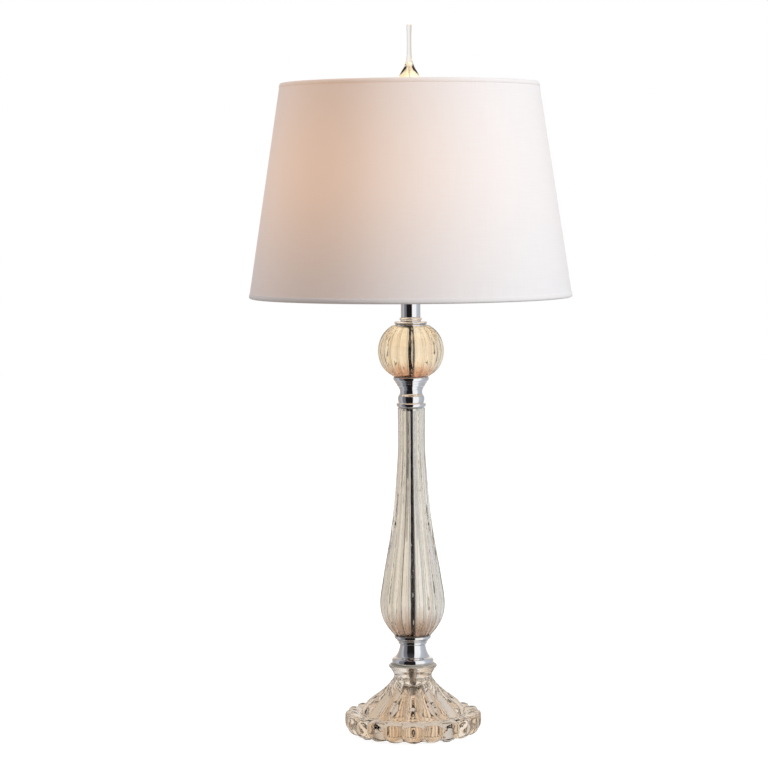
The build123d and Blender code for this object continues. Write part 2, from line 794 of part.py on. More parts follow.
# Moulded body that holds the switch, the contact and the terminals.
body_top = body_base + body_height
with BuildPart() as socket_body:
    with BuildSketch(Plane.XY.offset(body_base)):
        Circle(body_radius)
    extrude(amount=body_height)
    with BuildSketch(switch_plane.offset(switch_shaft_start - turning_gap)):
        Circle(switch_shaft_radius + turning_gap)
    extrude(amount=body_radius, mode=Mode.SUBTRACT)
socket_body.part.label = "socket_body"
export_step(socket_body.part, "parts/socket_body.step")

# Screw shell: a threaded brass cup with a hole in its floor for the contact.
screw_shell_inner = screw_thread_radius + sleeve_gap
with BuildPart() as screw_shell:
    with BuildSketch(Plane.XY.offset(body_top)):
        Circle(screw_shell_inner + screw_shell_wall)
    extrude(amount=screw_shell_height)
    with BuildSketch(Plane.XY.offset(body_top + screw_shell_wall)):
        Circle(screw_shell_inner)
    extrude(amount=screw_shell_height, mode=Mode.SUBTRACT)
    with Locations((0, 0, body_top + screw_shell_wall)):
        Hole(screw_shell_floor_hole)
screw_shell.part.label = "screw_shell"
export_step(screw_shell.part, "parts/screw_shell.step")

centre_contact = washer(contact_radius, set_screw_radius, contact_height, body_top)
centre_contact.part.label = "centre_contact"
export_step(centre_contact.part, "parts/centre_contact.step")

# Two terminal screws with slotted heads on the underside of the body.
with BuildPart() as terminal_screws:
    with BuildSketch(Plane.XY.offset(body_base)):
        with GridLocations(terminal_screw_spacing, 0, 2, 1):
            Circle(terminal_screw_radius)
    extrude(amount=-terminal_screw_head)
    with BuildSketch(Plane.XY.offset(body_base - terminal_screw_head)):
        with GridLocations(terminal_screw_spacing, 0, 2, 1):
            Rectangle(2 * terminal_screw_radius, driver_slot_width)
    extrude(amount=driver_slot_depth, mode=Mode.SUBTRACT)
terminal_screws.part.label = "terminal_screws"
export_step(terminal_screws.part, "parts/terminal_screws.step")

# Turn switch: a shaft out of the front of the socket, and a fluted knob on its end.
knob_base = shell_radius + knob_gap
shaft_end = knob_base + knob_length / 2
with BuildPart() as switch_shaft:
    with BuildSketch(switch_plane.offset(switch_shaft_start)):
        Circle(switch_shaft_radius)
    extrude(amount=shaft_end - switch_shaft_start)
switch_shaft.part.label = "switch_shaft"
export_step(switch_shaft.part, "parts/switch_shaft.step")

with BuildPart() as switch_knob:
    with BuildSketch(switch_plane.offset(knob_base)):
        Circle(knob_radius)
        with PolarLocations(knob_radius, knob_flute_count):
            Circle(knob_flute_radius, mode=Mode.SUBTRACT)
    extrude(amount=knob_length, taper=knob_taper)
    with BuildSketch(switch_plane.offset(knob_base)):
        Circle(switch_shaft_radius + turning_gap)
    extrude(amount=knob_length / 2, mode=Mode.SUBTRACT)
switch_knob.part.label = "switch_knob"
export_step(switch_knob.part, "parts/switch_knob.step")

# ---- Bulb ----------------------------------------------------------------------------------
bulb_tip_base = body_top + contact_height
bulb_insulator_base = bulb_tip_base + bulb_tip_height
bulb_cap_base = bulb_insulator_base + bulb_insulator_height
bulb_cap_top = bulb_cap_base + bulb_cap_height
bulb_housing_top = bulb_cap_top + bulb_housing_height
bulb_thread_root = screw_thread_radius - bulb_thread_depth

with BuildPart() as bulb_contact:
    with BuildSketch(Plane.XY.offset(bulb_tip_base)):
        Circle(bulb_tip_radius)
    extrude(amount=bulb_tip_height)
    fillet(edges().sort_by(Axis.Z)[0], bulb_tip_rounding)
bulb_contact.part.label = "bulb_contact"
export_step(bulb_contact.part, "parts/bulb_contact.step")

with BuildPart() as bulb_insulator:
    with BuildSketch(Plane.XY.offset(bulb_insulator_base)):
        Circle(bulb_tip_radius)
    with BuildSketch(Plane.XY.offset(bulb_cap_base)):
        Circle(bulb_thread_root - bulb_cap_wall)
    loft()
bulb_insulator.part.label = "bulb_insulator"
export_step(bulb_insulator.part, "parts/bulb_insulator.step")

# Screw cap: a thin cup whose wall rolls in and out as the thread does.
thread_turns = int(bulb_cap_height / bulb_thread_pitch) - 1
with BuildPart() as bulb_screw_cap:
    with BuildSketch(Plane.XY.offset(bulb_cap_base)):
        Circle(bulb_thread_root)
    extrude(amount=bulb_cap_height)
    with BuildSketch(Plane.XZ):
        for turn in range(thread_turns):
            crest_height = bulb_cap_base + (turn + 1) * bulb_thread_pitch
            with Locations((bulb_thread_root, crest_height)):
                Ellipse(bulb_thread_depth, bulb_thread_half_crest)
    revolve(axis=Axis.Z)
    with BuildSketch(Plane.XY.offset(bulb_cap_base + bulb_cap_wall)):
        Circle(bulb_thread_root - bulb_cap_wall)
    extrude(amount=bulb_cap_height, mode=Mode.SUBTRACT)
bulb_screw_cap.part.label = "bulb_screw_cap"
export_step(bulb_screw_cap.part, "parts/bulb_screw_cap.step")

# Housing: a hollow cone that widens from the cap to the globe.
with BuildPart() as bulb_housing:
    with BuildSketch(Plane.XY.offset(bulb_cap_top)):
        Circle(bulb_waist_radius)
    with BuildSketch(Plane.XY.offset(bulb_housing_top)):
        Circle(bulb_radius)
    loft()
    with BuildSketch(Plane.XY.offset(bulb_cap_top + bulb_housing_wall)):
        Circle(bulb_waist_radius - bulb_housing_wall)
    with BuildSketch(Plane.XY.offset(bulb_housing_top)):
        Circle(bulb_radius - bulb_housing_wall)
    loft(mode=Mode.SUBTRACT)
bulb_housing.part.label = "bulb_housing"
export_step(bulb_housing.part, "parts/bulb_housing.step")

# Board with its light-emitting chips, wedged in the housing's widening mouth.
led_board_base = bulb_housing_top - led_board_drop
housing_inner_rise = bulb_housing_height - bulb_housing_wall
housing_slope = (bulb_radius - bulb_waist_radius) / housing_inner_rise
led_board_radius = bulb_radius - bulb_housing_wall - led_board_drop * housing_slope - rest_gap
with BuildPart() as led_board:
    with BuildSketch(Plane.XY.offset(led_board_base)):
        Circle(led_board_radius)
    extrude(amount=led_board_thickness)
    with BuildSketch(Plane.XY.offset(led_board_base + led_board_thickness)):
        with PolarLocations(led_chip_circle, led_chip_count):
            Rectangle(led_chip_width, led_chip_width)
    extrude(amount=led_chip_height)
led_board.part.label = "led_board"
export_step(led_board.part, "parts/led_board.step")

# Globe: a thin dome, open below, that stands on the housing's rim.
with BuildPart() as bulb_globe:
    with BuildSketch(Plane.XZ):
        with Locations((0, bulb_housing_top)):
            Circle(bulb_radius)
            Circle(bulb_radius - bulb_globe_wall, mode=Mode.SUBTRACT)
            Rectangle(2 * bulb_radius, bulb_radius,
                      align=(Align.CENTER, Align.MAX), mode=Mode.SUBTRACT)
            Rectangle(bulb_radius, bulb_radius,
                      align=(Align.MAX, Align.MIN), mode=Mode.SUBTRACT)
    revolve(axis=Axis.Z)
bulb_globe.part.label = "bulb_globe"
export_step(bulb_globe.part, "parts/bulb_globe.step")

# ---- Shade ---------------------------------------------------------------------------------
# The ring centres lie on a slant line; the layers are set off from it, `out` to the outside.
ring_inset = cover_thickness + ring_gap + shade_ring_wire
top_ring_radius = shade_top_radius - ring_inset
top_ring_height = shade_top_height - ring_inset
bottom_ring_radius = shade_bottom_radius - ring_inset
bottom_ring_height = shade_bottom_height + ring_inset
slant_angle = atan2(bottom_ring_radius - top_ring_radius, top_ring_height - bottom_ring_height)


def from_top_ring(down, out):
    """Radius and height of a point `down` the slant from the top ring, and `out` from it."""
    return (
        top_ring_radius + down * sin(slant_angle) + out * cos(slant_angle),
        top_ring_height - down * cos(slant_angle) + out * sin(slant_angle),
    )


slant_length = sqrt(
    (bottom_ring_radius - top_ring_radius) ** 2 + (top_ring_height - bottom_ring_height) ** 2
)
cover_in = shade_ring_wire + ring_gap
cover_out = cover_in + cover_thickness
liner_out = cover_in - glue_gap
liner_in = liner_out - liner_board
turn_in_gap = liner_in - glue_gap

top_ring = wire_ring(top_ring_radius, shade_ring_wire, top_ring_height)
top_ring.part.label = "top_ring"
export_step(top_ring.part, "parts/top_ring.step")

bottom_ring = wire_ring(bottom_ring_radius, shade_ring_wire, bottom_ring_height)
bottom_ring.part.label = "bottom_ring"
export_step(bottom_ring.part, "parts/bottom_ring.step")

# Stiff liner: a cone between the two rings.
liner_margin = shade_ring_wire + rest_gap
with BuildPart() as shade_liner:
    with BuildSketch(Plane.XZ):
        with BuildLine():
            Polyline(
                from_top_ring(liner_margin, liner_in),
                from_top_ring(liner_margin, liner_out),
                from_top_ring(slant_length - liner_margin, liner_out),
                from_top_ring(slant_length - liner_margin, liner_in),
                close=True,
            )
        make_face()
    revolve(axis=Axis.Z)
shade_liner.part.label = "shade_liner"
export_step(shade_liner.part, "parts/shade_liner.step")

# Cover: outside the liner, rolled over each ring and turned in against the liner.
with BuildPart() as shade_cover:
    with BuildSketch(Plane.XZ):
        with BuildLine():
            Line(from_top_ring(0, cover_out), from_top_ring(slant_length, cover_out))
            ThreePointArc(
                from_top_ring(slant_length, cover_out),
                from_top_ring(slant_length + cover_out, 0),
                from_top_ring(slant_length, -cover_out),
            )
            Polyline(
                from_top_ring(slant_length, -cover_out),
                from_top_ring(slant_length - cover_turn_in, turn_in_gap - cover_thickness),
                from_top_ring(slant_length - cover_turn_in, turn_in_gap),
                from_top_ring(slant_length, -cover_in),
            )
            ThreePointArc(
                from_top_ring(slant_length, -cover_in),
                from_top_ring(slant_length + cover_in, 0),
                from_top_ring(slant_length, cover_in),
            )
            Line(from_top_ring(slant_length, cover_in), from_top_ring(0, cover_in))
            ThreePointArc(
                from_top_ring(0, cover_in),
                from_top_ring(-cover_in, 0),
                from_top_ring(0, -cover_in),
            )
            Polyline(
                from_top_ring(0, -cover_in),
                from_top_ring(cover_turn_in, turn_in_gap),
                from_top_ring(cover_turn_in, turn_in_gap - cover_thickness),
                from_top_ring(0, -cover_out),
            )
            ThreePointArc(
                from_top_ring(0, -cover_out),
                from_top_ring(-cover_out, 0),
                from_top_ring(0, cover_out),
            )
        make_face()
    revolve(axis=Axis.Z)
shade_cover.part.label = "shade_cover"
export_step(shade_cover.part, "parts/shade_cover.step")

# Spider: a hub over the harp's stud and wire spokes that run up to the top ring.
spider_hub = washer(hub_radius, hub_hole_radius, hub_thickness, hub_base)
spider_hub.part.label = "spider_hub"
export_step(spider_hub.part, "parts/spider_hub.step")

# Each spoke starts on the hub's edge and ends just short of the turned-in cover.
spoke_start = Vector(0, hub_radius - glue_gap, hub_base + hub_thickness / 2)
spoke_end_radius = top_ring_radius - cover_out - glue_gap
spoke_end = Vector(0, spoke_end_radius, top_ring_height)
with BuildPart() as spoke:
    with BuildSketch(Plane(spoke_start, z_dir=spoke_end - spoke_start)):
        Circle(spoke_radius)
    extrude(amount=(spoke_end - spoke_start).length)
with BuildPart() as spider_spokes:
    with PolarLocations(0, spoke_count):
        add(spoke.part)
    with BuildSketch(Plane.XY.offset(hub_base - hub_thickness)):
        Circle(hub_radius + glue_gap)
    extrude(amount=3 * hub_thickness, mode=Mode.SUBTRACT)
spider_spokes.part.label = "spider_spokes"
export_step(spider_spokes.part, "parts/spider_spokes.step")

# ---- Harp ----------------------------------------------------------------------------------
bracket_base = wire_top_height - harp_wire_radius - turning_gap - bracket_floor
leg_bend = arm_top + ferrule_length + ferrule_travel + ferrule_margin
bow_height = leg_base + harp_height * harp_bow_share
wire_flat = bracket_length / 2 + harp_wire_radius

with BuildPart() as harp_wire:
    with BuildLine(Plane.XZ):
        Line((-leg_offset, leg_base), (-leg_offset, leg_bend))
        Spline((-leg_offset, leg_bend), (-harp_bow_half_width, bow_height),
               tangents=((0, 1), (0, 1)))
        Spline((-harp_bow_half_width, bow_height), (-wire_flat, wire_top_height),
               tangents=((0, 1), (1, 0)))
        Line((-wire_flat, wire_top_height), (wire_flat, wire_top_height))
        Spline((wire_flat, wire_top_height), (harp_bow_half_width, bow_height),
               tangents=((1, 0), (0, -1)))
        Spline((harp_bow_half_width, bow_height), (leg_offset, leg_bend),
               tangents=((0, -1), (0, -1)))
        Line((leg_offset, leg_bend), (leg_offset, leg_base))
    with BuildSketch(Plane.XY.offset(leg_base)):
        with Locations((-leg_offset, 0)):
            Circle(harp_wire_radius)
    sweep()
harp_wire.part.label = "harp_wire"
export_step(harp_wire.part, "parts/harp_wire.step")

# Bracket: a block folded round the wire, with a pocket for the stud's rivet head.
with BuildPart() as harp_bracket:
    with BuildSketch(Plane.XY.offset(bracket_base)):
        RectangleRounded(bracket_length, bracket_width, bracket_corner)
    extrude(amount=bracket_top_height - bracket_base)
    with BuildSketch(Plane.YZ.offset(-bracket_length / 2)):
        with Locations((0, wire_top_height)):
            Circle(harp_wire_radius + turning_gap)
    extrude(amount=bracket_length, mode=Mode.SUBTRACT)
    with BuildSketch(Plane.XY.offset(wire_top_height)):
        Circle(rivet_radius + sleeve_gap)
    extrude(amount=rivet_top + turning_gap - wire_top_height, mode=Mode.SUBTRACT)
    with BuildSketch(Plane.XY.offset(wire_top_height)):
        Circle(stud_pin_radius + turning_gap)
    extrude(amount=bracket_top_height - wire_top_height, mode=Mode.SUBTRACT)
harp_bracket.part.label = "harp_bracket"
export_step(harp_bracket.part, "parts/harp_bracket.step")

# Swivel stud: rivet head and pin in the bracket, flange on it, threaded post above.
stud_top = hub_top + stud_height
with BuildPart() as shade_stud:
    with BuildSketch(Plane.XY.offset(rivet_base)):
        Circle(rivet_radius)
    extrude(amount=rivet_height)
    with BuildSketch(Plane.XY.offset(rivet_top)):
        Circle(stud_pin_radius)
    extrude(amount=bracket_top_height - rivet_top)
    with BuildSketch(Plane.XY.offset(bracket_top_height)):
        Circle(stud_flange_radius)
    extrude(amount=stud_flange_thickness)
    with BuildSketch(Plane.XY.offset(hub_base)):
        Circle(stud_radius)
    extrude(amount=stud_top - hub_base)
    chamfer(edges().sort_by(Axis.Z)[-1], stud_chamfer)
shade_stud.part.label = "shade_stud"
export_step(shade_stud.part, "parts/shade_stud.step")

# Ferrules: sleeves over the joint of each saddle pin and harp leg.
for side_name, side in (("left", -1), ("right", 1)):
    with BuildPart() as ferrule:
        with BuildSketch(Plane.XY.offset(arm_top)):
            with Locations((side * leg_offset, 0)):
                Circle(harp_wire_radius + sleeve_gap + ferrule_wall)
                Circle(harp_wire_radius + sleeve_gap, mode=Mode.SUBTRACT)
        extrude(amount=ferrule_length)
    ferrule.part.label = f"ferrule_{side_name}"
    export_step(ferrule.part, f"parts/ferrule_{side_name}.step")

# ---- Finial --------------------------------------------------------------------------------
finial_washer = washer(
    finial_washer_radius, stud_radius + sleeve_gap, finial_washer_thickness, hub_top
)
finial_washer.part.label = "finial_washer"
export_step(finial_washer.part, "parts/finial_washer.step")

# Base: a chrome disc with a threaded insert that stands up inside the glass.
with BuildPart() as finial_base:
    with BuildSketch(Plane.XY.offset(finial_seat_height)):
        Circle(finial_base_radius)
    extrude(amount=finial_base_height)
    fillet(edges().filter_by(GeomType.CIRCLE).sort_by(Axis.Z)[0], finial_base_rounding)
    with BuildSketch(Plane.XY.offset(finial_glass_base)):
        Circle(finial_insert_radius)
    extrude(amount=finial_insert_height)
    with BuildSketch(Plane.XY.offset(finial_seat_height)):
        Circle(stud_radius + turning_gap)
    extrude(amount=stud_top + rest_gap - finial_seat_height, mode=Mode.SUBTRACT)
finial_base.part.label = "finial_base"
export_step(finial_base.part, "parts/finial_base.step")

# Glass: a flared skirt, a waist and a slender stem with a rounded tip.
with BuildPart() as finial_glass:
    with BuildSketch(Plane.XZ):
        with BuildLine():
            Line((0, finial_glass_base), (finial_base_radius, finial_glass_base))
            Spline(
                (finial_base_radius, finial_glass_base),
                (finial_skirt_radius, finial_glass_base + finial_skirt_height),
                (finial_shoulder_radius, finial_glass_base + finial_shoulder_height),
                (finial_waist_radius, finial_glass_base + finial_waist_height),
                (finial_stem_radius, finial_glass_base + finial_stem_height),
                (finial_tip_radius, overall_height - finial_tip_radius),
                tangents=((1, 1), (0.05, 1)),
            )
            ThreePointArc(
                (finial_tip_radius, overall_height - finial_tip_radius),
                (finial_tip_radius * sin(pi / 4),
                 overall_height - finial_tip_radius * (1 - cos(pi / 4))),
                (0, overall_height),
            )
            Line((0, overall_height), (0, finial_glass_base))
        make_face()
    revolve(axis=Axis.Z)
    with BuildSketch(Plane.XY.offset(finial_glass_base)):
        Circle(finial_insert_radius + glue_gap)
    extrude(amount=finial_insert_height + glue_gap, mode=Mode.SUBTRACT)
finial_glass.part.label = "finial_glass"
export_step(finial_glass.part, "parts/finial_glass.step")
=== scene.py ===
from math import asin, atan2, cos, hypot, pi, radians, sin

import bpy
from mathutils import Matrix, Vector


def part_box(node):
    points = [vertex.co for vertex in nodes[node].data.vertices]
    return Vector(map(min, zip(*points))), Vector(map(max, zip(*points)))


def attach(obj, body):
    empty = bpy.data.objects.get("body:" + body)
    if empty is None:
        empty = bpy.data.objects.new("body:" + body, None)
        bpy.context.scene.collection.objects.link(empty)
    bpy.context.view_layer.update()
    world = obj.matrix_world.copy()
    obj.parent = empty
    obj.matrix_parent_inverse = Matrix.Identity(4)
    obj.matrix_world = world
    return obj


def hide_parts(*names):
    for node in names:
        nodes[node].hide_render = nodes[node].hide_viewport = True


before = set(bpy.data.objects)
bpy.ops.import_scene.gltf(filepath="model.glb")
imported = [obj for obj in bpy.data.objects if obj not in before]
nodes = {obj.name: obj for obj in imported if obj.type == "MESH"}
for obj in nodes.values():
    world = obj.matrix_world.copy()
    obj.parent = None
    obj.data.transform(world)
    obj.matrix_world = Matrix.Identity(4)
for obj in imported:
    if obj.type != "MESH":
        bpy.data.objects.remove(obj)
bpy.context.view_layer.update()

MM = 0.001

# ---- Heights of the stack, in millimetres above the table ----------------------------------


def low(node):
    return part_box(node)[0].z / MM


def high(node):
    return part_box(node)[1].z / MM


foot_top = high("foot_glass")
column_base, column_top = low("column_glass"), high("column_glass")
ball_base, ball_top = low("ball_glass"), high("ball_glass")
gasket = 0.8
lower_base, upper_base, cap_base = foot_top + gasket, column_top + gasket, ball_top + gasket


# ---- Mesh helpers ---------------------------------------------------------------------------
def above(base, *points):
    """The (radius, height) points, with their heights counted from the base."""
    return [(r, base + z) for r, z in points]


def through(points, steps):
    """Points of a smooth line through the given (radius, height) points."""
    line = []
    last = len(points) - 1
    for i in range(last):
        p0, p1 = points[max(i - 1, 0)], points[i]
        p2, p3 = points[i + 1], points[min(i + 2, last)]
        for k in range(steps):
            t = k / steps
            line.append(tuple(
                0.5 * (2 * b + (c - a) * t + (2 * a - 5 * b + 4 * c - d) * t * t
                       + (3 * b - a - 3 * c + d) * t ** 3)
                for a, b, c, d in zip(p0, p1, p2, p3)
            ))
    line.append(tuple(points[last]))
    return line


def round_edge(centre, radius, start, end, steps=6):
    """Points on an arc in the (radius, height) plane; angles in degrees."""
    return [
        (centre[0] + radius * cos(radians(start + (end - start) * k / steps)),
         centre[1] + radius * sin(radians(start + (end - start) * k / steps)))
        for k in range(steps + 1)
    ]


def mesh_object(name, vertices, faces, smooth_below=35):
    mesh = bpy.data.meshes.new(name)
    mesh.from_pydata(vertices, [], faces)
    mesh.validate()
    mesh.polygons.foreach_set("use_smooth", [True] * len(mesh.polygons))
    mesh.set_sharp_from_angle(angle=radians(smooth_below))
    piece = bpy.data.objects.new(name, mesh)
    bpy.context.scene.collection.objects.link(piece)
    return piece


def lathe(name, profile, segments=160, push=None, shape=None, close=True, smooth_below=35):
    """Turns a (radius, height) outline, in mm, about the lamp's axis, with its faces outward.
    `push` gives each outline point the radial and upward travel that a flute may move it;
    `shape(angle, radius, height)` may move a point as it is made."""
    points = list(profile)
    if close and hypot(points[0][0] - points[-1][0], points[0][1] - points[-1][1]) < 1e-6:
        points.pop()
    following = points[1:] + points[:1]
    if sum(a[0] * b[1] - b[0] * a[1] for a, b in zip(points, following)) < 0:
        points.reverse()
        push = push and push[::-1]
    vertices, rows, pushes = [], [], []
    for i, (r, z) in enumerate(points):
        if r < 1e-6:
            rows.append([len(vertices)] * segments)
            vertices.append((0, 0, z * MM))
            pushes.append(push[i] if push else (0, 0))
            continue
        row = []
        for k in range(segments):
            angle = 2 * pi * k / segments
            rr, zz = shape(angle, r, z) if shape else (r, z)
            row.append(len(vertices))
            vertices.append((rr * MM * cos(angle), rr * MM * sin(angle), zz * MM))
            pushes.append(push[i] if push else (0, 0))
        rows.append(row)
    faces = []
    pairs = list(zip(rows, rows[1:]))
    if close and points[0][0] > 1e-6 and points[-1][0] > 1e-6:
        pairs.append((rows[-1], rows[0]))
    for below, above in pairs:
        for k in range(segments):
            j = (k + 1) % segments
            corners = []
            for v in (below[k], below[j], above[j], above[k]):
                if v not in corners:
                    corners.append(v)
            if len(corners) > 2:
                faces.append(corners)
    piece = mesh_object(name, vertices, faces, smooth_below)
    if push:
        attribute = piece.data.attributes.new("flute_push", "FLOAT_VECTOR", "POINT")
        flat = []
        for across, up in pushes:
            flat += [across * MM, 0, up * MM]
        attribute.data.foreach_set("vector", flat)
    return piece


def finish_piece(piece, body, material, slot_name=None, *replaced):
    piece.data.materials.clear()
    piece.data.materials.append(material)
    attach(piece, body)
    if replaced:
        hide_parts(*replaced)
    return piece


# ---- Node helpers ---------------------------------------------------------------------------
def add_inputs(tree, inputs):
    """Gives a node tree named inputs, each as (name, kind, value)."""
    for name, kind, value in inputs:
        socket = tree.interface.new_socket(name, in_out="INPUT", socket_type="NodeSocket" + kind)
        if value is not None:
            socket.default_value = value


def feed(tree, socket, value):
    """Sets an input to a plain value, or links another node's output to it."""
    if isinstance(value, (int, float, tuple)):
        socket.default_value = value
    else:
        tree.links.new(value, socket)


def maths(tree, operation, *values):
    """The result of one Math node."""
    node = tree.nodes.new("ShaderNodeMath")
    node.operation = operation
    for socket, value in zip(node.inputs, values):
        feed(tree, socket, value)
    return node.outputs[0]


def split(tree, vector):
    """The X, Y and Z of a vector, each by its name."""
    node = tree.nodes.new("ShaderNodeSeparateXYZ")
    tree.links.new(vector, node.inputs[0])
    return node.outputs


def joined(tree, **values):
    """A vector with the given X, Y and Z; what isn't given is 0."""
    node = tree.nodes.new("ShaderNodeCombineXYZ")
    for axis, value in values.items():
        feed(tree, node.inputs[axis], value)
    return node.outputs[0]


def scaled(tree, vector, amount):
    """A vector or colour times a number."""
    node = tree.nodes.new("ShaderNodeVectorMath")
    node.operation = "SCALE"
    feed(tree, node.inputs[0], vector)
    feed(tree, node.inputs["Scale"], amount)
    return node.outputs[0]


# ---- Geometry node trees --------------------------------------------------------------------
def tree_with(name, inputs):
    """A new geometry tree and its input node."""
    tree = bpy.data.node_groups.new(name, "GeometryNodeTree")
    tree.interface.new_socket("Geometry", in_out="INPUT", socket_type="NodeSocketGeometry")
    tree.interface.new_socket("Geometry", in_out="OUTPUT", socket_type="NodeSocketGeometry")
    add_inputs(tree, inputs)
    return tree, tree.nodes.new("NodeGroupInput")


def finish_tree(tree, geometry, material):
    """Ends a tree in real geometry that wears the material."""
    real = tree.nodes.new("GeometryNodeRealizeInstances")
    paint = tree.nodes.new("GeometryNodeSetMaterial")
    out = tree.nodes.new("NodeGroupOutput")
    tree.links.new(geometry, real.inputs["Geometry"])
    tree.links.new(real.outputs["Geometry"], paint.inputs["Geometry"])
    tree.links.new(material, paint.inputs["Material"])
    tree.links.new(paint.outputs["Geometry"], out.inputs[0])


# Flutes: every point moves by its own "flute_push" times a row of equal rounded bumps.
flutes, given = tree_with("flutes", [
    ("Count", "Int", 24), ("Fullness", "Float", 0.8), ("Flatness", "Float", 1.0),
    ("Material", "Material", None),
])
place = split(flutes, flutes.nodes.new("GeometryNodeInputPosition").outputs[0])
angle = maths(flutes, "ARCTAN2", place["Y"], place["X"])
turns = maths(flutes, "DIVIDE", maths(flutes, "MULTIPLY", angle, given.outputs["Count"]), 2 * pi)
across = maths(flutes, "MULTIPLY", maths(flutes, "WRAP", turns, 0.5, -0.5), 2)
flat = maths(flutes, "POWER", maths(flutes, "ABSOLUTE", across), given.outputs["Flatness"])
lean = maths(flutes, "POWER", maths(flutes, "MULTIPLY", flat, given.outputs["Fullness"]), 2)
bump = maths(flutes, "SQRT", maths(flutes, "SUBTRACT", 1, lean))
least = maths(flutes, "SQRT", maths(
    flutes, "SUBTRACT", 1, maths(flutes, "POWER", given.outputs["Fullness"], 2)))
share = maths(flutes, "DIVIDE", maths(flutes, "SUBTRACT", bump, least),
              maths(flutes, "SUBTRACT", 1, least))
travel = flutes.nodes.new("GeometryNodeInputNamedAttribute")
travel.data_type = "FLOAT_VECTOR"
travel.inputs["Name"].default_value = "flute_push"
full_push = split(flutes, travel.outputs["Attribute"])
outward = maths(flutes, "MULTIPLY", share, full_push["X"])
moved = joined(flutes, X=maths(flutes, "MULTIPLY", outward, maths(flutes, "COSINE", angle)),
               Y=maths(flutes, "MULTIPLY", outward, maths(flutes, "SINE", angle)),
               Z=maths(flutes, "MULTIPLY", share, full_push["Z"]))
shift = flutes.nodes.new("GeometryNodeSetPosition")
flutes.links.new(given.outputs["Geometry"], shift.inputs["Geometry"])
flutes.links.new(moved, shift.inputs["Offset"])
finish_tree(flutes, shift.outputs["Geometry"], given.outputs["Material"])

# Ring of copies: the given piece is set round the axis, each copy turned to face outwards.
ring_copies, given = tree_with("ring_copies", [
    ("Count", "Int", 8), ("Radius", "Float", 0.01), ("Height", "Float", 0.0),
    ("Material", "Material", None),
])
circle = ring_copies.nodes.new("GeometryNodeMeshCircle")
ring_copies.links.new(given.outputs["Count"], circle.inputs["Vertices"])
ring_copies.links.new(given.outputs["Radius"], circle.inputs["Radius"])
raised = ring_copies.nodes.new("GeometryNodeSetPosition")
ring_copies.links.new(circle.outputs["Mesh"], raised.inputs["Geometry"])
ring_copies.links.new(joined(ring_copies, Z=given.outputs["Height"]), raised.inputs["Offset"])
index = ring_copies.nodes.new("GeometryNodeInputIndex").outputs[0]
turn = maths(ring_copies, "DIVIDE", maths(ring_copies, "MULTIPLY", index, 2 * pi),
             given.outputs["Count"])
copies = ring_copies.nodes.new("GeometryNodeInstanceOnPoints")
ring_copies.links.new(raised.outputs["Geometry"], copies.inputs["Points"])
ring_copies.links.new(given.outputs["Geometry"], copies.inputs["Instance"])
ring_copies.links.new(joined(ring_copies, Z=turn), copies.inputs["Rotation"])
finish_tree(ring_copies, copies.outputs["Instances"], given.outputs["Material"])


def grown(piece, tree, **values):
    """The piece after a node tree has worked on it, as one plain mesh."""
    modifier = piece.modifiers.new(tree.name, "NODES")
    modifier.node_group = tree
    for item in tree.interface.items_tree:
        if item.in_out == "INPUT" and item.name in values:
            modifier[item.identifier] = values[item.name]
    graph = bpy.context.evaluated_depsgraph_get()
    graph.update()
    mesh = bpy.data.meshes.new_from_object(piece.evaluated_get(graph))
    piece.modifiers.remove(modifier)
    piece.data = mesh
    if "flute_push" in mesh.attributes:
        mesh.attributes.remove(mesh.attributes["flute_push"])
    return piece


# ---- Shader node groups ---------------------------------------------------------------------
def shader_group(name, inputs, outputs):
    """A new shader group, its input node and its output node."""
    group = bpy.data.node_groups.new(name, "ShaderNodeTree")
    add_inputs(group, inputs)
    for output, kind in outputs:
        group.interface.new_socket(output, in_out="OUTPUT", socket_type="NodeSocket" + kind)
    return group, group.nodes.new("NodeGroupInput"), group.nodes.new("NodeGroupOutput")


def mixed(tree, factor, first, second):
    """A colour between two colours."""
    node = tree.nodes.new("ShaderNodeMix")
    node.data_type = "RGBA"
    sockets = [s for s in node.inputs if s.enabled]
    for socket, value in zip(sockets, (factor, first, second)):
        feed(tree, socket, value)
    return [s for s in node.outputs if s.enabled][0]


def noise(tree, vector, scale, detail=2.0, roughness=0.5):
    """Soft noise between 0 and 1."""
    node = tree.nodes.new("ShaderNodeTexNoise")
    node.inputs["Scale"].default_value = scale
    node.inputs["Detail"].default_value = detail
    node.inputs["Roughness"].default_value = roughness
    tree.links.new(vector, node.inputs["Vector"])
    return node.outputs["Fac"]


def ranged(tree, value, low_in, high_in, low_out, high_out):
    """A value carried from one range over to another, and held at its ends."""
    node = tree.nodes.new("ShaderNodeMapRange")
    for key, number in (("From Min", low_in), ("From Max", high_in),
                        ("To Min", low_out), ("To Max", high_out), ("Value", value)):
        feed(tree, node.inputs[key], number)
    return node.outputs[0]


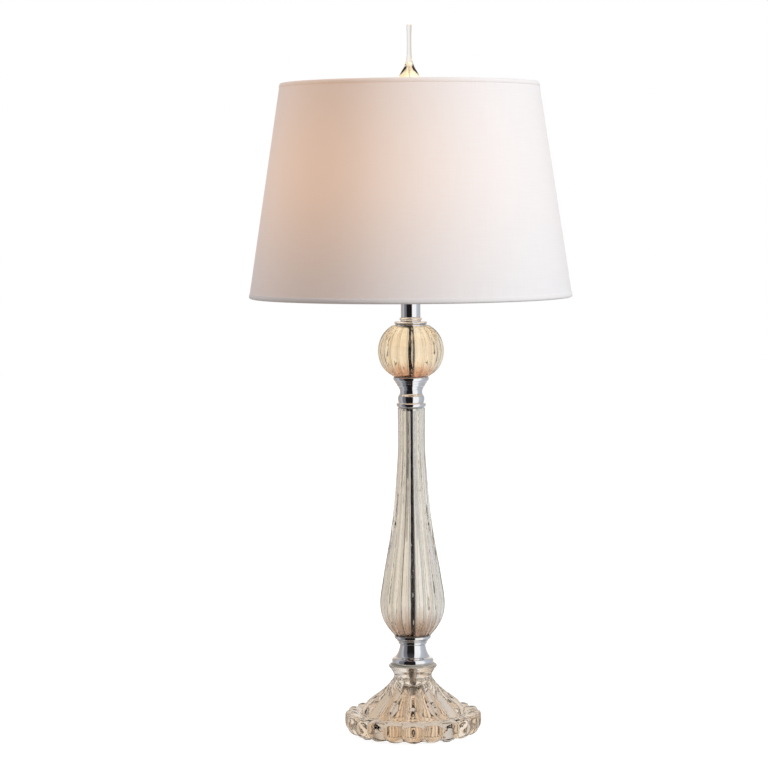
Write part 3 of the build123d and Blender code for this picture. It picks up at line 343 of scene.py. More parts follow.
# Handling: faint smudges and fine rubbing on a hard surface.
handling, inside, outside = shader_group(
    "handling",
    [("Vector", "Vector", None), ("Smudge Scale", "Float", 30.0),
     ("Least Roughness", "Float", 0.03), ("Most Roughness", "Float", 0.1)],
    [("Roughness", "Float"), ("Height", "Float"), ("Dust", "Float")],
)
blotch = handling.nodes.new("ShaderNodeTexNoise")
handling.links.new(inside.outputs["Vector"], blotch.inputs["Vector"])
handling.links.new(inside.outputs["Smudge Scale"], blotch.inputs["Scale"])
blotch.inputs["Detail"].default_value = 4.0
handling.links.new(
    ranged(handling, blotch.outputs["Fac"], 0.35, 0.75,
           inside.outputs["Least Roughness"], inside.outputs["Most Roughness"]),
    outside.inputs["Roughness"],
)
handling.links.new(noise(handling, inside.outputs["Vector"], 900.0, 3.0), outside.inputs["Height"])
handling.links.new(ranged(handling, blotch.outputs["Fac"], 0.55, 0.8, 0.0, 1.0),
                   outside.inputs["Dust"])

# Tinted glass: colour by height, and the slow waves of a pressed or blown surface.
tinted, inside, outside = shader_group(
    "tinted_glass",
    [("Vector", "Vector", None), ("Low Colour", "Color", None), ("High Colour", "Color", None),
     ("Low Height", "Float", 0.0), ("High Height", "Float", 1.0), ("Wave Scale", "Float", 60.0)],
    [("Color", "Color"), ("Height", "Float"), ("Roughness", "Float")],
)
climb = ranged(tinted, split(tinted, inside.outputs["Vector"])["Z"],
               inside.outputs["Low Height"], inside.outputs["High Height"], 0.0, 1.0)
drift = maths(tinted, "ADD", climb, ranged(
    tinted, noise(tinted, inside.outputs["Vector"], 45.0), 0.3, 0.7, -0.12, 0.12))
tinted.links.new(
    mixed(tinted, drift, inside.outputs["Low Colour"], inside.outputs["High Colour"]),
    outside.inputs["Color"],
)
stretch = tinted.nodes.new("ShaderNodeVectorMath")
stretch.operation = "MULTIPLY"
stretch.inputs[1].default_value = (1.0, 1.0, 0.25)
tinted.links.new(inside.outputs["Vector"], stretch.inputs[0])
waves = tinted.nodes.new("ShaderNodeTexNoise")
tinted.links.new(stretch.outputs[0], waves.inputs["Vector"])
tinted.links.new(inside.outputs["Wave Scale"], waves.inputs["Scale"])
waves.inputs["Detail"].default_value = 1.5
tinted.links.new(waves.outputs["Fac"], outside.inputs["Height"])
tinted.links.new(ranged(tinted, waves.outputs["Fac"], 0.3, 0.8, 0.0, 0.03),
                 outside.inputs["Roughness"])

# Woven cloth on a UV map in metres: threads over and under, with thicker slubs here and there.
weave, inside, outside = shader_group(
    "linen_weave",
    [("Vector", "Vector", None), ("Threads per Metre", "Float", 1400.0)],
    [("Height", "Float"), ("Shade", "Float")],
)
parts = split(weave, inside.outputs["Vector"])
slub = noise(weave, inside.outputs["Vector"], 220.0, 3.0)
over = []
for axis in ("X", "Y"):
    thread = maths(weave, "MULTIPLY", parts[axis], inside.outputs["Threads per Metre"])
    over.append(maths(weave, "SINE", maths(weave, "MULTIPLY", thread, pi)))
cross = maths(weave, "ABSOLUTE", maths(weave, "MULTIPLY", *over))
weave.links.new(maths(weave, "ADD", cross, maths(weave, "MULTIPLY", slub, 0.8)),
                outside.inputs["Height"])
streaks = maths(weave, "ADD", *[
    noise(weave, joined(weave, X=maths(weave, "MULTIPLY", parts["X"], across_threads),
                        Y=maths(weave, "MULTIPLY", parts["Y"], along_threads)), 1.0)
    for across_threads, along_threads in ((900.0, 25.0), (25.0, 900.0))
])
weave.links.new(ranged(weave, maths(weave, "ADD", streaks, maths(weave, "MULTIPLY", cross, 0.15)),
                       0.6, 1.5, 0.95, 1.02), outside.inputs["Shade"])

# Surround: what polished metal and glass see in each direction of the studio. Turned from the
# camera's side: a dark room with the camera, a tall white panel on the right, grey walls, and
# the white backdrop behind the lamp.
surround, inside, outside = shader_group(
    "surround", [("Direction", "Vector", None), ("Warmth", "Float", 0.0)], [("Color", "Color")]
)
parts = split(surround, inside.outputs["Direction"])
bearing = maths(surround, "ARCTAN2", parts["X"], maths(surround, "MULTIPLY", parts["Y"], -1))
ramp = surround.nodes.new("ShaderNodeValToRGB")
surround.links.new(ranged(surround, bearing, -pi, pi, 0.0, 1.0), ramp.inputs["Fac"])
stops = (
    (-180, (1.0, 0.95, 0.87)), (-164, (0.92, 0.84, 0.74)), (-148, (0.50, 0.43, 0.36)),
    (-120, (0.36, 0.35, 0.36)), (-86, (0.50, 0.51, 0.53)), (-80, (0.20, 0.20, 0.22)),
    (-52, (0.17, 0.17, 0.19)), (-47, (0.014, 0.012, 0.013)), (13, (0.012, 0.011, 0.012)),
    (18, (1.0, 1.0, 1.0)), (62, (1.0, 1.0, 1.0)), (76, (0.52, 0.56, 0.62)),
    (120, (0.44, 0.46, 0.50)), (146, (0.54, 0.51, 0.47)), (162, (1.0, 1.0, 0.98)),
    (180, (1.0, 1.0, 1.0)),
)
while len(ramp.color_ramp.elements) < len(stops):
    ramp.color_ramp.elements.new(0.5)
for element, (degrees, colour) in zip(ramp.color_ramp.elements, stops):
    element.position = (degrees + 180) / 360
    element.color = (*colour, 1)
level = surround.nodes.new("ShaderNodeVectorMath")
level.operation = "NORMALIZE"
surround.links.new(inside.outputs["Direction"], level.inputs[0])
ceiling = ranged(surround, split(surround, level.outputs[0])["Z"], 0.40, 0.9, 0.0, 0.12)
sideways = ranged(
    surround, maths(surround, "ABSOLUTE", bearing), radians(70), radians(90), 0.0, 1.0)
wall_light = mixed(surround, ranged(surround, bearing, radians(-90), radians(90), 0.0, 1.0),
                   (0.92, 0.84, 0.72, 1), (0.97, 0.98, 0.99, 1))
warmed = mixed(surround, maths(surround, "MULTIPLY", sideways, inside.outputs["Warmth"]),
               ramp.outputs["Color"], wall_light)
surround.links.new(mixed(surround, ceiling, warmed, (0.34, 0.34, 0.36, 1)),
                   outside.inputs["Color"])
glass_warmth = 0.5     # how far the walls seen through glass turn to the lamp's own light


# ---- Materials ------------------------------------------------------------------------------
def material_with(name, **values):
    """A new material, its node tree, its Principled shader and its Object coordinate."""
    material = bpy.data.materials.new(name)
    material.use_nodes = True
    tree = material.node_tree
    shader = tree.nodes["Principled BSDF"]
    for key, value in values.items():
        shader.inputs[key.replace("_", " ")].default_value = value
    where = tree.nodes.new("ShaderNodeTexCoord")
    return material, tree, shader, where.outputs["Object"]


def placed(tree, group, **values):
    """A shader group placed in a material, with its own values."""
    node = tree.nodes.new("ShaderNodeGroup")
    node.node_tree = group
    for key, value in values.items():
        feed(tree, node.inputs[key.replace("_", " ")], value)
    return node


def bumped(tree, shader, height_value, distance, strength=1.0):
    node = tree.nodes.new("ShaderNodeBump")
    node.inputs["Distance"].default_value = distance
    node.inputs["Strength"].default_value = strength
    tree.links.new(height_value, node.inputs["Height"])
    tree.links.new(node.outputs[0], shader.inputs["Normal"])


def hard_finish(name, colour, worn, metallic, least, most, bump_depth=0.00002, smudge=30.0):
    """Metal, plastic or board: handled, with its colour a little duller where it is dusty."""
    material, tree, shader, where = material_with(name, Metallic=metallic)
    hand = placed(tree, handling, Vector=where, Smudge_Scale=smudge, Least_Roughness=least,
                  Most_Roughness=most)
    tree.links.new(mixed(tree, hand.outputs["Dust"], (*colour, 1), (*worn, 1)),
                   shader.inputs["Base Color"])
    tree.links.new(hand.outputs["Roughness"], shader.inputs["Roughness"])
    bumped(tree, shader, hand.outputs["Height"], bump_depth, 0.3)
    return material


def glass(name, low_colour, high_colour, low_height, high_height, wave_scale, wave_depth):
    """Glass that goes from one tint to another between two heights, in mm."""
    material, tree, shader, where = material_with(name, Metallic=0.0, IOR=1.5)
    shader.inputs["Transmission Weight"].default_value = 1.0
    tint = placed(tree, tinted, Vector=where, Low_Colour=(*low_colour, 1),
                  High_Colour=(*high_colour, 1), Low_Height=low_height * MM,
                  High_Height=high_height * MM, Wave_Scale=wave_scale)
    tree.links.new(tint.outputs["Color"], shader.inputs["Base Color"])
    tree.links.new(tint.outputs["Roughness"], shader.inputs["Roughness"])
    bumped(tree, shader, tint.outputs["Height"], wave_depth)
    return material


chrome = hard_finish("chrome_plate", (0.90, 0.90, 0.91), (0.84, 0.83, 0.82), 1.0, 0.02, 0.05,
                     0.00001)
zinc = hard_finish("zinc_plate", (0.76, 0.75, 0.72), (0.64, 0.60, 0.52), 1.0, 0.40, 0.58)
nickel = hard_finish("nickel_plate", (0.72, 0.68, 0.62), (0.62, 0.57, 0.50), 1.0, 0.12, 0.26)
brass = hard_finish("socket_brass", (0.80, 0.62, 0.30), (0.62, 0.45, 0.22), 1.0, 0.18, 0.34)
phenolic = hard_finish("black_phenolic", (0.018, 0.017, 0.016), (0.045, 0.042, 0.04), 0.0,
                       0.28, 0.5)
fibre = hard_finish("fibre_paper", (0.30, 0.19, 0.10), (0.38, 0.27, 0.17), 0.0, 0.75, 0.95,
                    0.00006, 300.0)
felt_pad = hard_finish("soft_pad", (0.55, 0.55, 0.53), (0.42, 0.42, 0.40), 0.0, 0.7, 0.95,
                       0.00008, 400.0)
gasket_rubber = hard_finish("clear_gasket", (0.62, 0.58, 0.50), (0.50, 0.46, 0.38), 0.0, 0.4, 0.6)
bulb_shell = hard_finish("bulb_plastic", (0.84, 0.84, 0.82), (0.72, 0.71, 0.68), 0.0, 0.35, 0.5)
board_green = hard_finish("light_board", (0.80, 0.80, 0.78), (0.66, 0.66, 0.62), 0.0, 0.4, 0.55)
chip_yellow = hard_finish("light_chips", (0.92, 0.66, 0.10), (0.80, 0.52, 0.08), 0.0, 0.3, 0.4)

amber_glass = glass("foot_amber_glass", (0.93, 0.785, 0.635), (0.94, 0.855, 0.77), 0, foot_top,
                    120.0, 0.0004)
gold_glass = glass("ball_gold_glass", (0.73, 0.42, 0.25), (1.0, 0.915, 0.775),
                   ball_base, ball_base + 14, 200.0, 0.00015)
silver_glass = glass("column_silver_glass", (0.58, 0.43, 0.33), (0.935, 0.91, 0.865),
                     column_base, column_base + 28, 200.0, 0.0002)
clear_glass = glass("finial_clear_glass", (0.99, 0.96, 0.86), (0.96, 0.97, 0.98),
                    786, 800, 120.0, 0.0002)

# Frosted globe, lit from inside.
globe_frost, tree, shader, where = material_with(
    "frosted_globe", Roughness=0.5, Base_Color=(0.9, 0.88, 0.82, 1))
hand = placed(tree, handling, Vector=where, Smudge_Scale=60.0, Least_Roughness=0.4,
              Most_Roughness=0.55)
tree.links.new(hand.outputs["Roughness"], shader.inputs["Roughness"])
tree.links.new(mixed(tree, hand.outputs["Dust"], (1.0, 0.80, 0.50, 1), (1.0, 0.74, 0.42, 1)),
               shader.inputs["Emission Color"])
shader.inputs["Emission Strength"].default_value = 1.2

# White board that stiffens the shade.
shade_board = hard_finish("shade_board", (0.90, 0.89, 0.87), (0.86, 0.84, 0.81), 0.0, 0.5, 0.7,
                          0.00005, 12.0)


# Painted glow: the bulb's warm light painted into the shade cloth's emission, aimed at this
# bearing, between these heights.
glow_bearing = 42      # degrees from the front, towards the left
glow_low, glow_high = 0.5195, 0.7705


def painted_shade_glow(tree, where, strength):
    """Warm painted glow of the bulb: strongest a little above the shade's middle, on the front
    left.
    """
    spread = split(tree, where)
    side = maths(tree, "ARCTAN2", spread["X"], maths(tree, "MULTIPLY", spread["Y"], -1))
    from_glow = maths(tree, "ADD", side, radians(glow_bearing))
    off = maths(tree, "ABSOLUTE", maths(tree, "WRAP", from_glow, pi, -pi))
    round_share = tree.nodes.new("ShaderNodeValToRGB")
    tree.links.new(maths(tree, "DIVIDE", off, pi), round_share.inputs["Fac"])
    round_share.color_ramp.interpolation = "EASE"
    round_share.color_ramp.elements[0].color = (1, 1, 1, 1)
    round_share.color_ramp.elements[1].position = 0.57
    round_share.color_ramp.elements[1].color = (0.27, 0.27, 0.27, 1)
    height_share = tree.nodes.new("ShaderNodeValToRGB")
    tree.links.new(ranged(tree, spread["Z"], glow_low, glow_high, 0.0, 1.0),
                   height_share.inputs["Fac"])
    height_share.color_ramp.interpolation = "B_SPLINE"
    for element, (position, level_value) in zip(
        (height_share.color_ramp.elements[0], height_share.color_ramp.elements.new(0.35),
         height_share.color_ramp.elements.new(0.65), height_share.color_ramp.elements[-1]),
        ((0.0, 0.38), (0.35, 0.80), (0.65, 1.0), (1.0, 0.70)),
    ):
        element.position = position
        element.color = (level_value, level_value, level_value, 1)
    amount = maths(tree, "MULTIPLY", maths(tree, "MULTIPLY", round_share.outputs["Color"],
                                           height_share.outputs["Color"]), strength)
    return scaled(tree, (1.0, 0.45, 0.10), amount)


def linen(name, colour, glow):
    """Woven cloth on the "cloth" map, with the warm light of the lit bulb behind it painted in as
    emission.
    """
    material, tree, shader, where = material_with(
        name, Roughness=0.85, Sheen_Weight=0.15, Sheen_Roughness=0.5)
    cloth = tree.nodes.new("ShaderNodeUVMap")
    cloth.uv_map = "cloth"
    threads = placed(tree, weave, Vector=cloth.outputs[0], Threads_per_Metre=1400.0)
    tree.links.new(scaled(tree, colour, threads.outputs["Shade"]), shader.inputs["Base Color"])
    bumped(tree, shader, threads.outputs["Height"], 0.00012, 0.6)
    tree.links.new(painted_shade_glow(tree, where, glow), shader.inputs["Emission Color"])
    shader.inputs["Emission Strength"].default_value = 1.0
    return material


shade_linen = linen("white_linen", (0.85, 0.86, 0.88), 0.44)
# The bottom hem takes a weaker painted glow than the rest of the shade.
hem_linen = linen("hem_linen", (0.86, 0.85, 0.85), 0.20)

node_finish = {
    chrome: ("harp_bracket", "shade_stud"),
    nickel: ("harp_wire", "harp_saddle", "ferrule_left", "ferrule_right", "spider_hub",
             "spider_spokes", "bulb_contact", "centre_contact", "switch_shaft"),
    zinc: ("base_washer", "base_lock_washer", "base_nut", "threaded_pipe", "top_ring",
           "bottom_ring", "cap_set_screw"),
    brass: ("socket_cap", "socket_shell", "screw_shell", "terminal_screws"),
    phenolic: ("cord_bushing", "socket_body", "bulb_insulator"),
    fibre: ("insulating_liner",),
    felt_pad: ("foot_pads", "base_gasket"),
    gasket_rubber: ("foot_gasket", "column_bottom_gasket", "column_top_gasket",
                    "ball_bottom_gasket", "ball_top_gasket"),
    board_green: ("led_board",),
    shade_board: ("shade_liner",),
}
for finish, names in node_finish.items():
    for name in names:
        nodes[name].data.materials.clear()
        nodes[name].data.materials.append(finish)


# Each glass stands this much, in mm, clear of the gaskets it is seated on.
relief = 0.05

# ---- Foot -----------------------------------------------------------------------------------
# The outside is given twice, at the crest and at the crease of a petal: down the petals to the
# groove, over the lobes, and down to the rim. The flutes carry the creases out to the crests.
petal_lines = [
    ((22.6, 70.4), (22.5, 70.4)), ((22.6, 68.2), (22.3, 68.2)), ((23.7, 65.4), (23.0, 65.0)),
    ((25.8, 62.4), (24.6, 61.6)), ((29.4, 58.0), (27.6, 56.8)), ((34.0, 53.4), (31.7, 51.8)),
    ((38.8, 49.2), (36.2, 47.2)), ((44.4, 45.0), (41.3, 42.6)), ((50.5, 40.4), (47.2, 37.6)),
    ((55.8, 36.0), (52.3, 33.2)), ((59.6, 31.6), (55.9, 29.7)), ((61.4, 27.9), (57.7, 26.8)),
    ((61.9, 25.2), (58.7, 24.6)), ((63.0, 23.6), (60.8, 23.2)), ((64.8, 23.4), (63.2, 22.8)),
    ((67.4, 25.0), (65.6, 22.6)), ((70.8, 26.2), (67.8, 22.4)), ((75.2, 26.4), (70.6, 21.6)),
    ((78.8, 25.7), (72.4, 20.2)), ((80.6, 23.4), (73.5, 18.2)), ((81.0, 19.6), (73.9, 15.6)),
    ((81.0, 14.0), (74.0, 12.8)), ((80.4, 9.2), (73.7, 10.4)), ((78.8, 5.8), (72.6, 8.2)),
    ((76.2, 3.2), (70.9, 6.2)), ((73.2, 1.5), (68.6, 4.6)), ((71.0, 1.0), (66.8, 3.4)),
]
lobe_count = 20
hollow_ceiling = 56.0
foot_lip = (
    [(5.3, foot_top - relief), (27.6, foot_top - relief)]
    + round_edge((27.6, foot_top - relief - 1.0), 1.0, 90, 0, 4)
    + through([(28.6, 80.9), (28.2, 79.2), (26.4, 77.3), (25.4, 75.4), (23.9, 72.8)], 5)
)
foot_inside = (
    [(61.6, 1.0)]
    + through([(60.4, 1.6), (57.5, 6.0), (52.0, 19.0), (45.4, 28.5), (38.0, 36.5), (31.0, 43.4),
               (24.0, 49.6), (17.5, 54.2), (15.0, 55.6)], 4)
    + [(14.0, hollow_ceiling + relief), (5.3, hollow_ceiling + relief)]
)
crests = through([crest for crest, crease in petal_lines], 5)
creases = through([crease for crest, crease in petal_lines], 5)
foot_outline = foot_lip + creases + foot_inside
foot_pushes = (
    [(0, 0)] * len(foot_lip)
    + [(high_r - low_r, high_z - low_z) for (high_r, high_z), (low_r, low_z)
       in zip(crests, creases)]
    + [(0, 0)] * len(foot_inside)
)
foot = lathe("pressed_glass_foot", foot_outline, lobe_count * 18, push=foot_pushes)
grown(foot, flutes, Count=lobe_count, Fullness=0.857, Flatness=1.0, Material=amber_glass)
finish_piece(foot, "stand", amber_glass, "clear_amber_glass", "foot_glass")

# ---- Column ---------------------------------------------------------------------------------
rib_count = 24
column_wall = 3.0
column_line = [
    (22.0, column_base + relief), (24.6, 120.6), (28.8, 125.5), (32.0, 130.3), (34.5, 135.0),
    (36.2, 139.9), (37.5, 144.7), (38.3, 150.5), (38.5, 156.0), (38.1, 163.0), (37.1, 171.0),
    (35.1, 183.0), (33.2, 195.0), (31.1, 207.0), (29.0, 219.0), (26.9, 231.0), (25.1, 243.0),
    (23.4, 255.0), (21.9, 267.0), (20.6, 279.0), (19.5, 291.0), (18.6, 303.0), (17.7, 315.0),
    (16.8, 327.0), (16.2, 339.0), (16.0, 352.0), (16.1, 370.0), (16.2, column_top - relief),
]


def rib_depth(r, z):
    """Depth of the ribs: more where the column is wide, and next to none on its seat."""
    return 0.7 + 0.8 * min(1, max(0, (r - 16) / 20)) if column_base + 1 < z else 0.1


outer = [(r - rib_depth(r, z), z) for r, z in through(column_line, 4)]
inner = [(r - column_wall, z) for r, z in through(column_line, 3)][::-1]
column_outline = outer + inner
column_pushes = [(rib_depth(r, z), 0) for r, z in outer] + [(0, 0)] * len(inner)
column = lathe("ribbed_glass_column", column_outline, rib_count * 14, push=column_pushes)
grown(column, flutes, Count=rib_count, Fullness=0.82, Flatness=1.5, Material=silver_glass)
finish_piece(column, "stand", silver_glass, "silver_champagne_glass", "column_glass")

# ---- Ball -----------------------------------------------------------------------------------
ball_middle = (ball_base + ball_top) / 2
ball_half = (ball_top - ball_base) / 2 - relief


def ball_wall(half_width, half_axis, steps):
    """Points up an ellipse cut flat at both ends."""
    edge = asin(ball_half / half_axis)
    return [(half_width * cos(edge * (2 * k / steps - 1)),
             ball_middle + half_axis * sin(edge * (2 * k / steps - 1))) for k in range(steps + 1)]


ball_rib = 0.9
ball_axis = 36.8
outer = ball_wall(39.0 - ball_rib, 36.6 - ball_rib * 0.4, 60)
inner = ball_wall(36.3, 34.2, 44)[::-1]
ball_pushes = []
for r, z in outer:
    fade = min(1, max(0, (r - 20) / 12))
    lean_out = (z - ball_middle) / ball_axis
    ball_pushes.append((ball_rib * fade + 0.1, ball_rib * fade * 0.6 * lean_out))
ball = lathe("ribbed_glass_ball", outer + inner, rib_count * 14,
             push=ball_pushes + [(0, 0)] * len(inner))
grown(ball, flutes, Count=rib_count, Fullness=0.85, Flatness=1.6, Material=gold_glass)
finish_piece(ball, "stand", gold_glass, "clear_amber_glass", "ball_glass")

# ---- Polished metal turned on the lathe -----------------------------------------------------
pipe_way = 5.3


def turned_chrome(name, node, base, *runs, segments=192):
    """Chrome on the stand, turned from runs of points; a run that starts with a number of
    steps is smooth, and one of three or more numbers is a round edge."""
    outline = []
    for run in runs:
        if isinstance(run[0], tuple):
            outline += above(base, *run)
        elif isinstance(run[1], tuple):
            outline += through(above(base, *run[1:]), run[0])
        else:
            across, up, radius, start, end, steps = run
            outline += round_edge((across, base + up), radius, start, end, steps)
    piece = lathe(name, outline, segments, smooth_below=30)
    finish_piece(piece, "stand", chrome, "chrome", node)


turned_chrome(
    "lower_chrome_collar", "lower_collar", lower_base,
    [(pipe_way, 0), (22.6, 0)],
    [6, (23.0, 0.1), (24.2, 1.4), (24.9, 3.4), (24.9, 5.2), (24.2, 6.9), (22.9, 8.0)],
    [6, (21.9, 8.4), (20.3, 9.6), (18.6, 12.0), (17.2, 14.8), (16.2, 18.0), (15.5, 21.2),
     (15.6, 23.4)],
    [5, (16.1, 23.9), (17.0, 24.6), (17.3, 25.4), (17.0, 26.2)],
    [(16.4, 26.5)],
    [5, (16.5, 26.8), (17.8, 27.3), (18.9, 28.2), (19.3, 29.2)],
    [(19.5, 29.6), (20.6, 30.2)],
    [4, (20.7, 30.4), (21.6, 31.2), (21.9, 32.4), (21.9, 33.2)],
    [21.2, 33.5, 0.7, 0, 90, 4],
    [(18.5, 34.2), (18.5, 38.2), (pipe_way, 38.2)],
)

turned_chrome(
    "upper_chrome_collar", "upper_collar", upper_base,
    [(pipe_way, -4), (12.6, -4), (12.8, -3.8), (12.8, 0), (15.8, 0)],
    [6, (16.2, 0.1), (17.2, 1.2), (17.7, 2.9), (17.4, 4.5), (16.4, 5.4)],
    [(16.0, 5.6)],
    [6, (15.3, 6.0), (15.7, 7.4), (15.9, 9.4), (15.9, 11.4), (15.4, 13.4)],
    [6, (14.9, 14.0), (13.9, 15.6), (13.4, 17.4), (13.5, 19.4), (13.9, 21.0)],
    [5, (14.3, 21.4), (15.0, 23.0), (15.9, 24.8)],
    [5, (16.6, 25.2), (17.2, 26.6), (17.9, 28.2)],
    [5, (18.6, 28.5), (19.2, 29.6), (19.7, 30.8)],
    [5, (20.4, 31.2), (21.0, 32.2), (21.4, 33.4), (21.4, 34.6)],
    [20.7, 34.9, 0.7, 0, 90, 4],
    [(19.2, 35.6), (19.2, 39.6), (pipe_way, 39.6)],
)
turned_chrome(
    "ball_chrome_cap", "ball_cap", cap_base,
    [(pipe_way, -4), (19.0, -4), (19.0, 0), (18.0, 0)],
    [17.9, 1.9, 1.7, -90, 90, 12],
    [(16.2, 3.7), (15.8, 3.8), (pipe_way, 3.8)],
)
turned_chrome(
    "neck_chrome_ring", "neck_ring", cap_base + 3.8,
    [(pipe_way, 0), (12.3, 0), (12.3, 1.0)],
    [12.1, 2.6, 1.4, -76, 76, 10],
    [(12.2, 4.1), (12.1, 4.8), (pipe_way, 4.8)],
    segments=160,
)


def tube(name, node, outer_radius, inner_radius, material, body, slot_name, edge=0.25):
    """A turned tube with eased ends, in place of a CAD tube of the same size."""
    bottom, top = low(node), high(node)
    outline = (
        round_edge((outer_radius - edge, bottom + edge), edge, -90, 0, 3)
        + round_edge((outer_radius - edge, top - edge), edge, 0, 90, 3)
        + [(inner_radius, top), (inner_radius, bottom)]
    )
    piece = lathe(name, outline, 144, smooth_below=50)
    return finish_piece(piece, body, material, slot_name, node)


tube("neck_chrome_tube", "neck_tube", 11.7, 10.7, chrome, "stand", "chrome")
tube("neck_chrome_top", "neck_cap", 12.6, pipe_way, chrome, "stand", "chrome")
column_sleeve_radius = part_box("column_sleeve")[1].x / MM
tube("column_bright_sleeve", "column_sleeve", column_sleeve_radius, column_sleeve_radius - 0.8,
     chrome, "stand", "chrome")
tube("ball_bright_sleeve", "ball_sleeve", 5.9, 5.4, chrome, "stand", "chrome")

# ---- Finial ---------------------------------------------------------------------------------
tube("finial_nickel_washer", "finial_washer", 9.5, 3.45, chrome, "finial_seat", "chrome", 0.3)
zf = low("finial_base")
finial_base_outline = (
    [(3.2, zf), (9.2, zf)]
    + round_edge((9.2, zf + 1.3), 1.3, -90, 0, 5)
    + above(zf, (10.5, 2.2), (9.9, 2.6), (9.9, 3.0), (10.4, 3.3), (10.4, 3.8), (10.2, 4.0),
            (5.0, 4.0), (5.0, 11.8), (4.8, 12.0), (0, 12.0), (0, 8.7), (3.2, 8.7))
)
finial_base = lathe("finial_chrome_base", finial_base_outline, 128, smooth_below=40)
finish_piece(finial_base, "finial", chrome, "chrome", "finial_base")

zg = low("finial_glass")
finial_tip = 838.9
finial_outline = (
    [(5.15, zg), (10.2, zg)]
    + through(above(zg, (10.6, 0.3), (12.2, 3.0), (12.7, 6.5), (12.1, 10.0), (10.8, 13.4),
                    (9.1, 16.7), (7.6, 19.4), (6.2, 21.9), (5.2, 24.0), (4.6, 26.0)), 6)
    + through(above(zg, (4.2, 26.6), (4.0, 28.2), (3.5, 31.0), (3.0, 34.5), (2.75, 39.0),
                    (2.6, 48.0), (2.6, 56.0), (2.75, 62.0), (3.0, 67.4), (3.0, 69.4)), 5)
    + through(above(zg, (2.9, 69.9), (2.4, 71.0), (1.4, 71.65)), 4)
    + [(0, finial_tip), (0, zg + 8.3), (4.9, zg + 8.3), (5.15, zg + 8.1)]
)
finial_glass = lathe("finial_clear_stem", finial_outline, 96, smooth_below=40)
finish_piece(finial_glass, "finial", clear_glass, "clear_glass", "finial_glass")

# ---- Switch knob ----------------------------------------------------------------------------
knob_low, knob_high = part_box("switch_knob")
knob_centre = (knob_low + knob_high) / 2
knob_length = (knob_high.y - knob_low.y) / MM
knob_flutes = 12
knob_outline = (
    [(2.05, 0.0), (5.0, 0.0), (5.2, 0.3), (5.2, 0.8), (5.1, 1.2)]
    + [(5.05 - 0.05 * k, 1.2 + (knob_length - 3.0) * k / 12) for k in range(1, 13)]
    + round_edge((3.4, knob_length - 1.2), 1.0, 25, 90, 5)
    + [(0, knob_length - 0.1), (0, 7.0), (2.05, 7.0)]
)
knob_pushes = [(0.75, 0) if r > 4.3 and z > 1.1 else (0, 0) for r, z in knob_outline]
knob = lathe("fluted_switch_knob", knob_outline, knob_flutes * 12, push=knob_pushes)
grown(knob, flutes, Count=knob_flutes, Fullness=0.9, Flatness=1.0, Material=phenolic)
knob.data.transform(Matrix.Translation((0, knob_high.y, knob_centre.z))
                    @ Matrix.Rotation(radians(90), 4, "X"))
finish_piece(knob, "switch", phenolic, "black_plastic", "switch_knob")

# ---- Bulb -----------------------------------------------------------------------------------
cap_low, cap_high = low("bulb_screw_cap"), high("bulb_screw_cap")
thread_pitch = 3.63
thread_depth = 0.8
thread_root = 12.3


def screw_thread(angle_round, r, z):
    """The rolled thread of the bulb's cap: its crest climbs one pitch in a turn."""
    if r < thread_root - 0.5:
        return (r, z)
    run = min(1, max(0, (z - cap_low - 1.0) / 2)) * min(1, max(0, (cap_high - 3.0 - z) / 2))
    wave = 0.5 + 0.5 * cos(2 * pi * ((z - cap_low) / thread_pitch - angle_round / (2 * pi)))
    return (r + thread_depth * run * wave, z)


rows = 56
thread_length = cap_high - cap_low - 0.8
thread_outline = (
    [(0, cap_low), (10.9, cap_low)]
    + [(thread_root, cap_low + 0.4 + thread_length * k / rows) for k in range(rows + 1)]
    + [(12.0, cap_high), (11.3, cap_high), (11.3, cap_low + 1.0), (0, cap_low + 1.0)]
)
screw_cap = lathe("bulb_threaded_cap", thread_outline, 96, shape=screw_thread, close=False)
finish_piece(screw_cap, "bulb", nickel, "nickel", "bulb_screw_cap")

hb, ht = low("bulb_housing"), high("bulb_housing")
housing_outline = (
    [(0, hb), (12.4, hb)]
    + round_edge((12.5, hb + 0.9), 0.9, -90, 0, 4)
    + through([(13.4, hb + 1.4), (13.6, hb + 5.0), (15.2, hb + 12.0), (18.4, hb + 22.0),
               (22.4, hb + 32.0), (26.6, hb + 42.0), (29.0, hb + 47.4), (29.8, hb + 49.4)], 6)
    + [(29.6, ht), (28.4, ht)]
    + through([(28.2, ht - 0.6), (25.0, hb + 41.5), (20.8, hb + 31.5), (16.8, hb + 21.5),
               (13.6, hb + 12.0), (12.0, hb + 5.0), (11.6, hb + 2.0)], 5)
    + [(0, hb + 1.6)]
)
housing = lathe("bulb_tapered_housing", housing_outline, 128, close=False)
finish_piece(housing, "bulb", bulb_shell, "bulb_plastic", "bulb_housing")

globe_outer = round_edge((0, ht), 30.0, 0, 90, 28)
globe_inner = round_edge((0, ht), 28.8, 90, 0, 24)
globe = lathe("bulb_frosted_globe", [*globe_outer[:-1], (0, ht + 30.0), (0, ht + 28.8),
                                     *globe_inner[1:]], 128, close=True)
finish_piece(globe, "bulb", globe_frost, "bulb_plastic", "bulb_globe")

# Light chips on the board, under the globe.
board_top = high("led_board")
chip = lathe("light_chips_ring", [(0, 0), (2.0, 0), (2.2, 0.2), (2.2, 0.7), (1.9, 0.9), (0, 1.0)],
             8, close=False)
grown(chip, ring_copies, Count=16, Radius=12.0 * MM, Height=board_top * MM, Material=chip_yellow)
finish_piece(chip, "bulb", chip_yellow, "board")

# ---- Shade cover ----------------------------------------------------------------------------
# Linen outside the board, with a rolled hem over each wire ring and a lapped seam at the back.
shade_low, shade_high = low("shade_cover"), high("shade_cover")
top_radius, bottom_radius = 152.0, 190.5
slant = hypot(bottom_radius - top_radius, shade_high - shade_low)
out_r, out_z = (shade_high - shade_low) / slant, (bottom_radius - top_radius) / slant
hem_height = 5.5
seam_half_width = 5.0
lap_thickness = 0.45


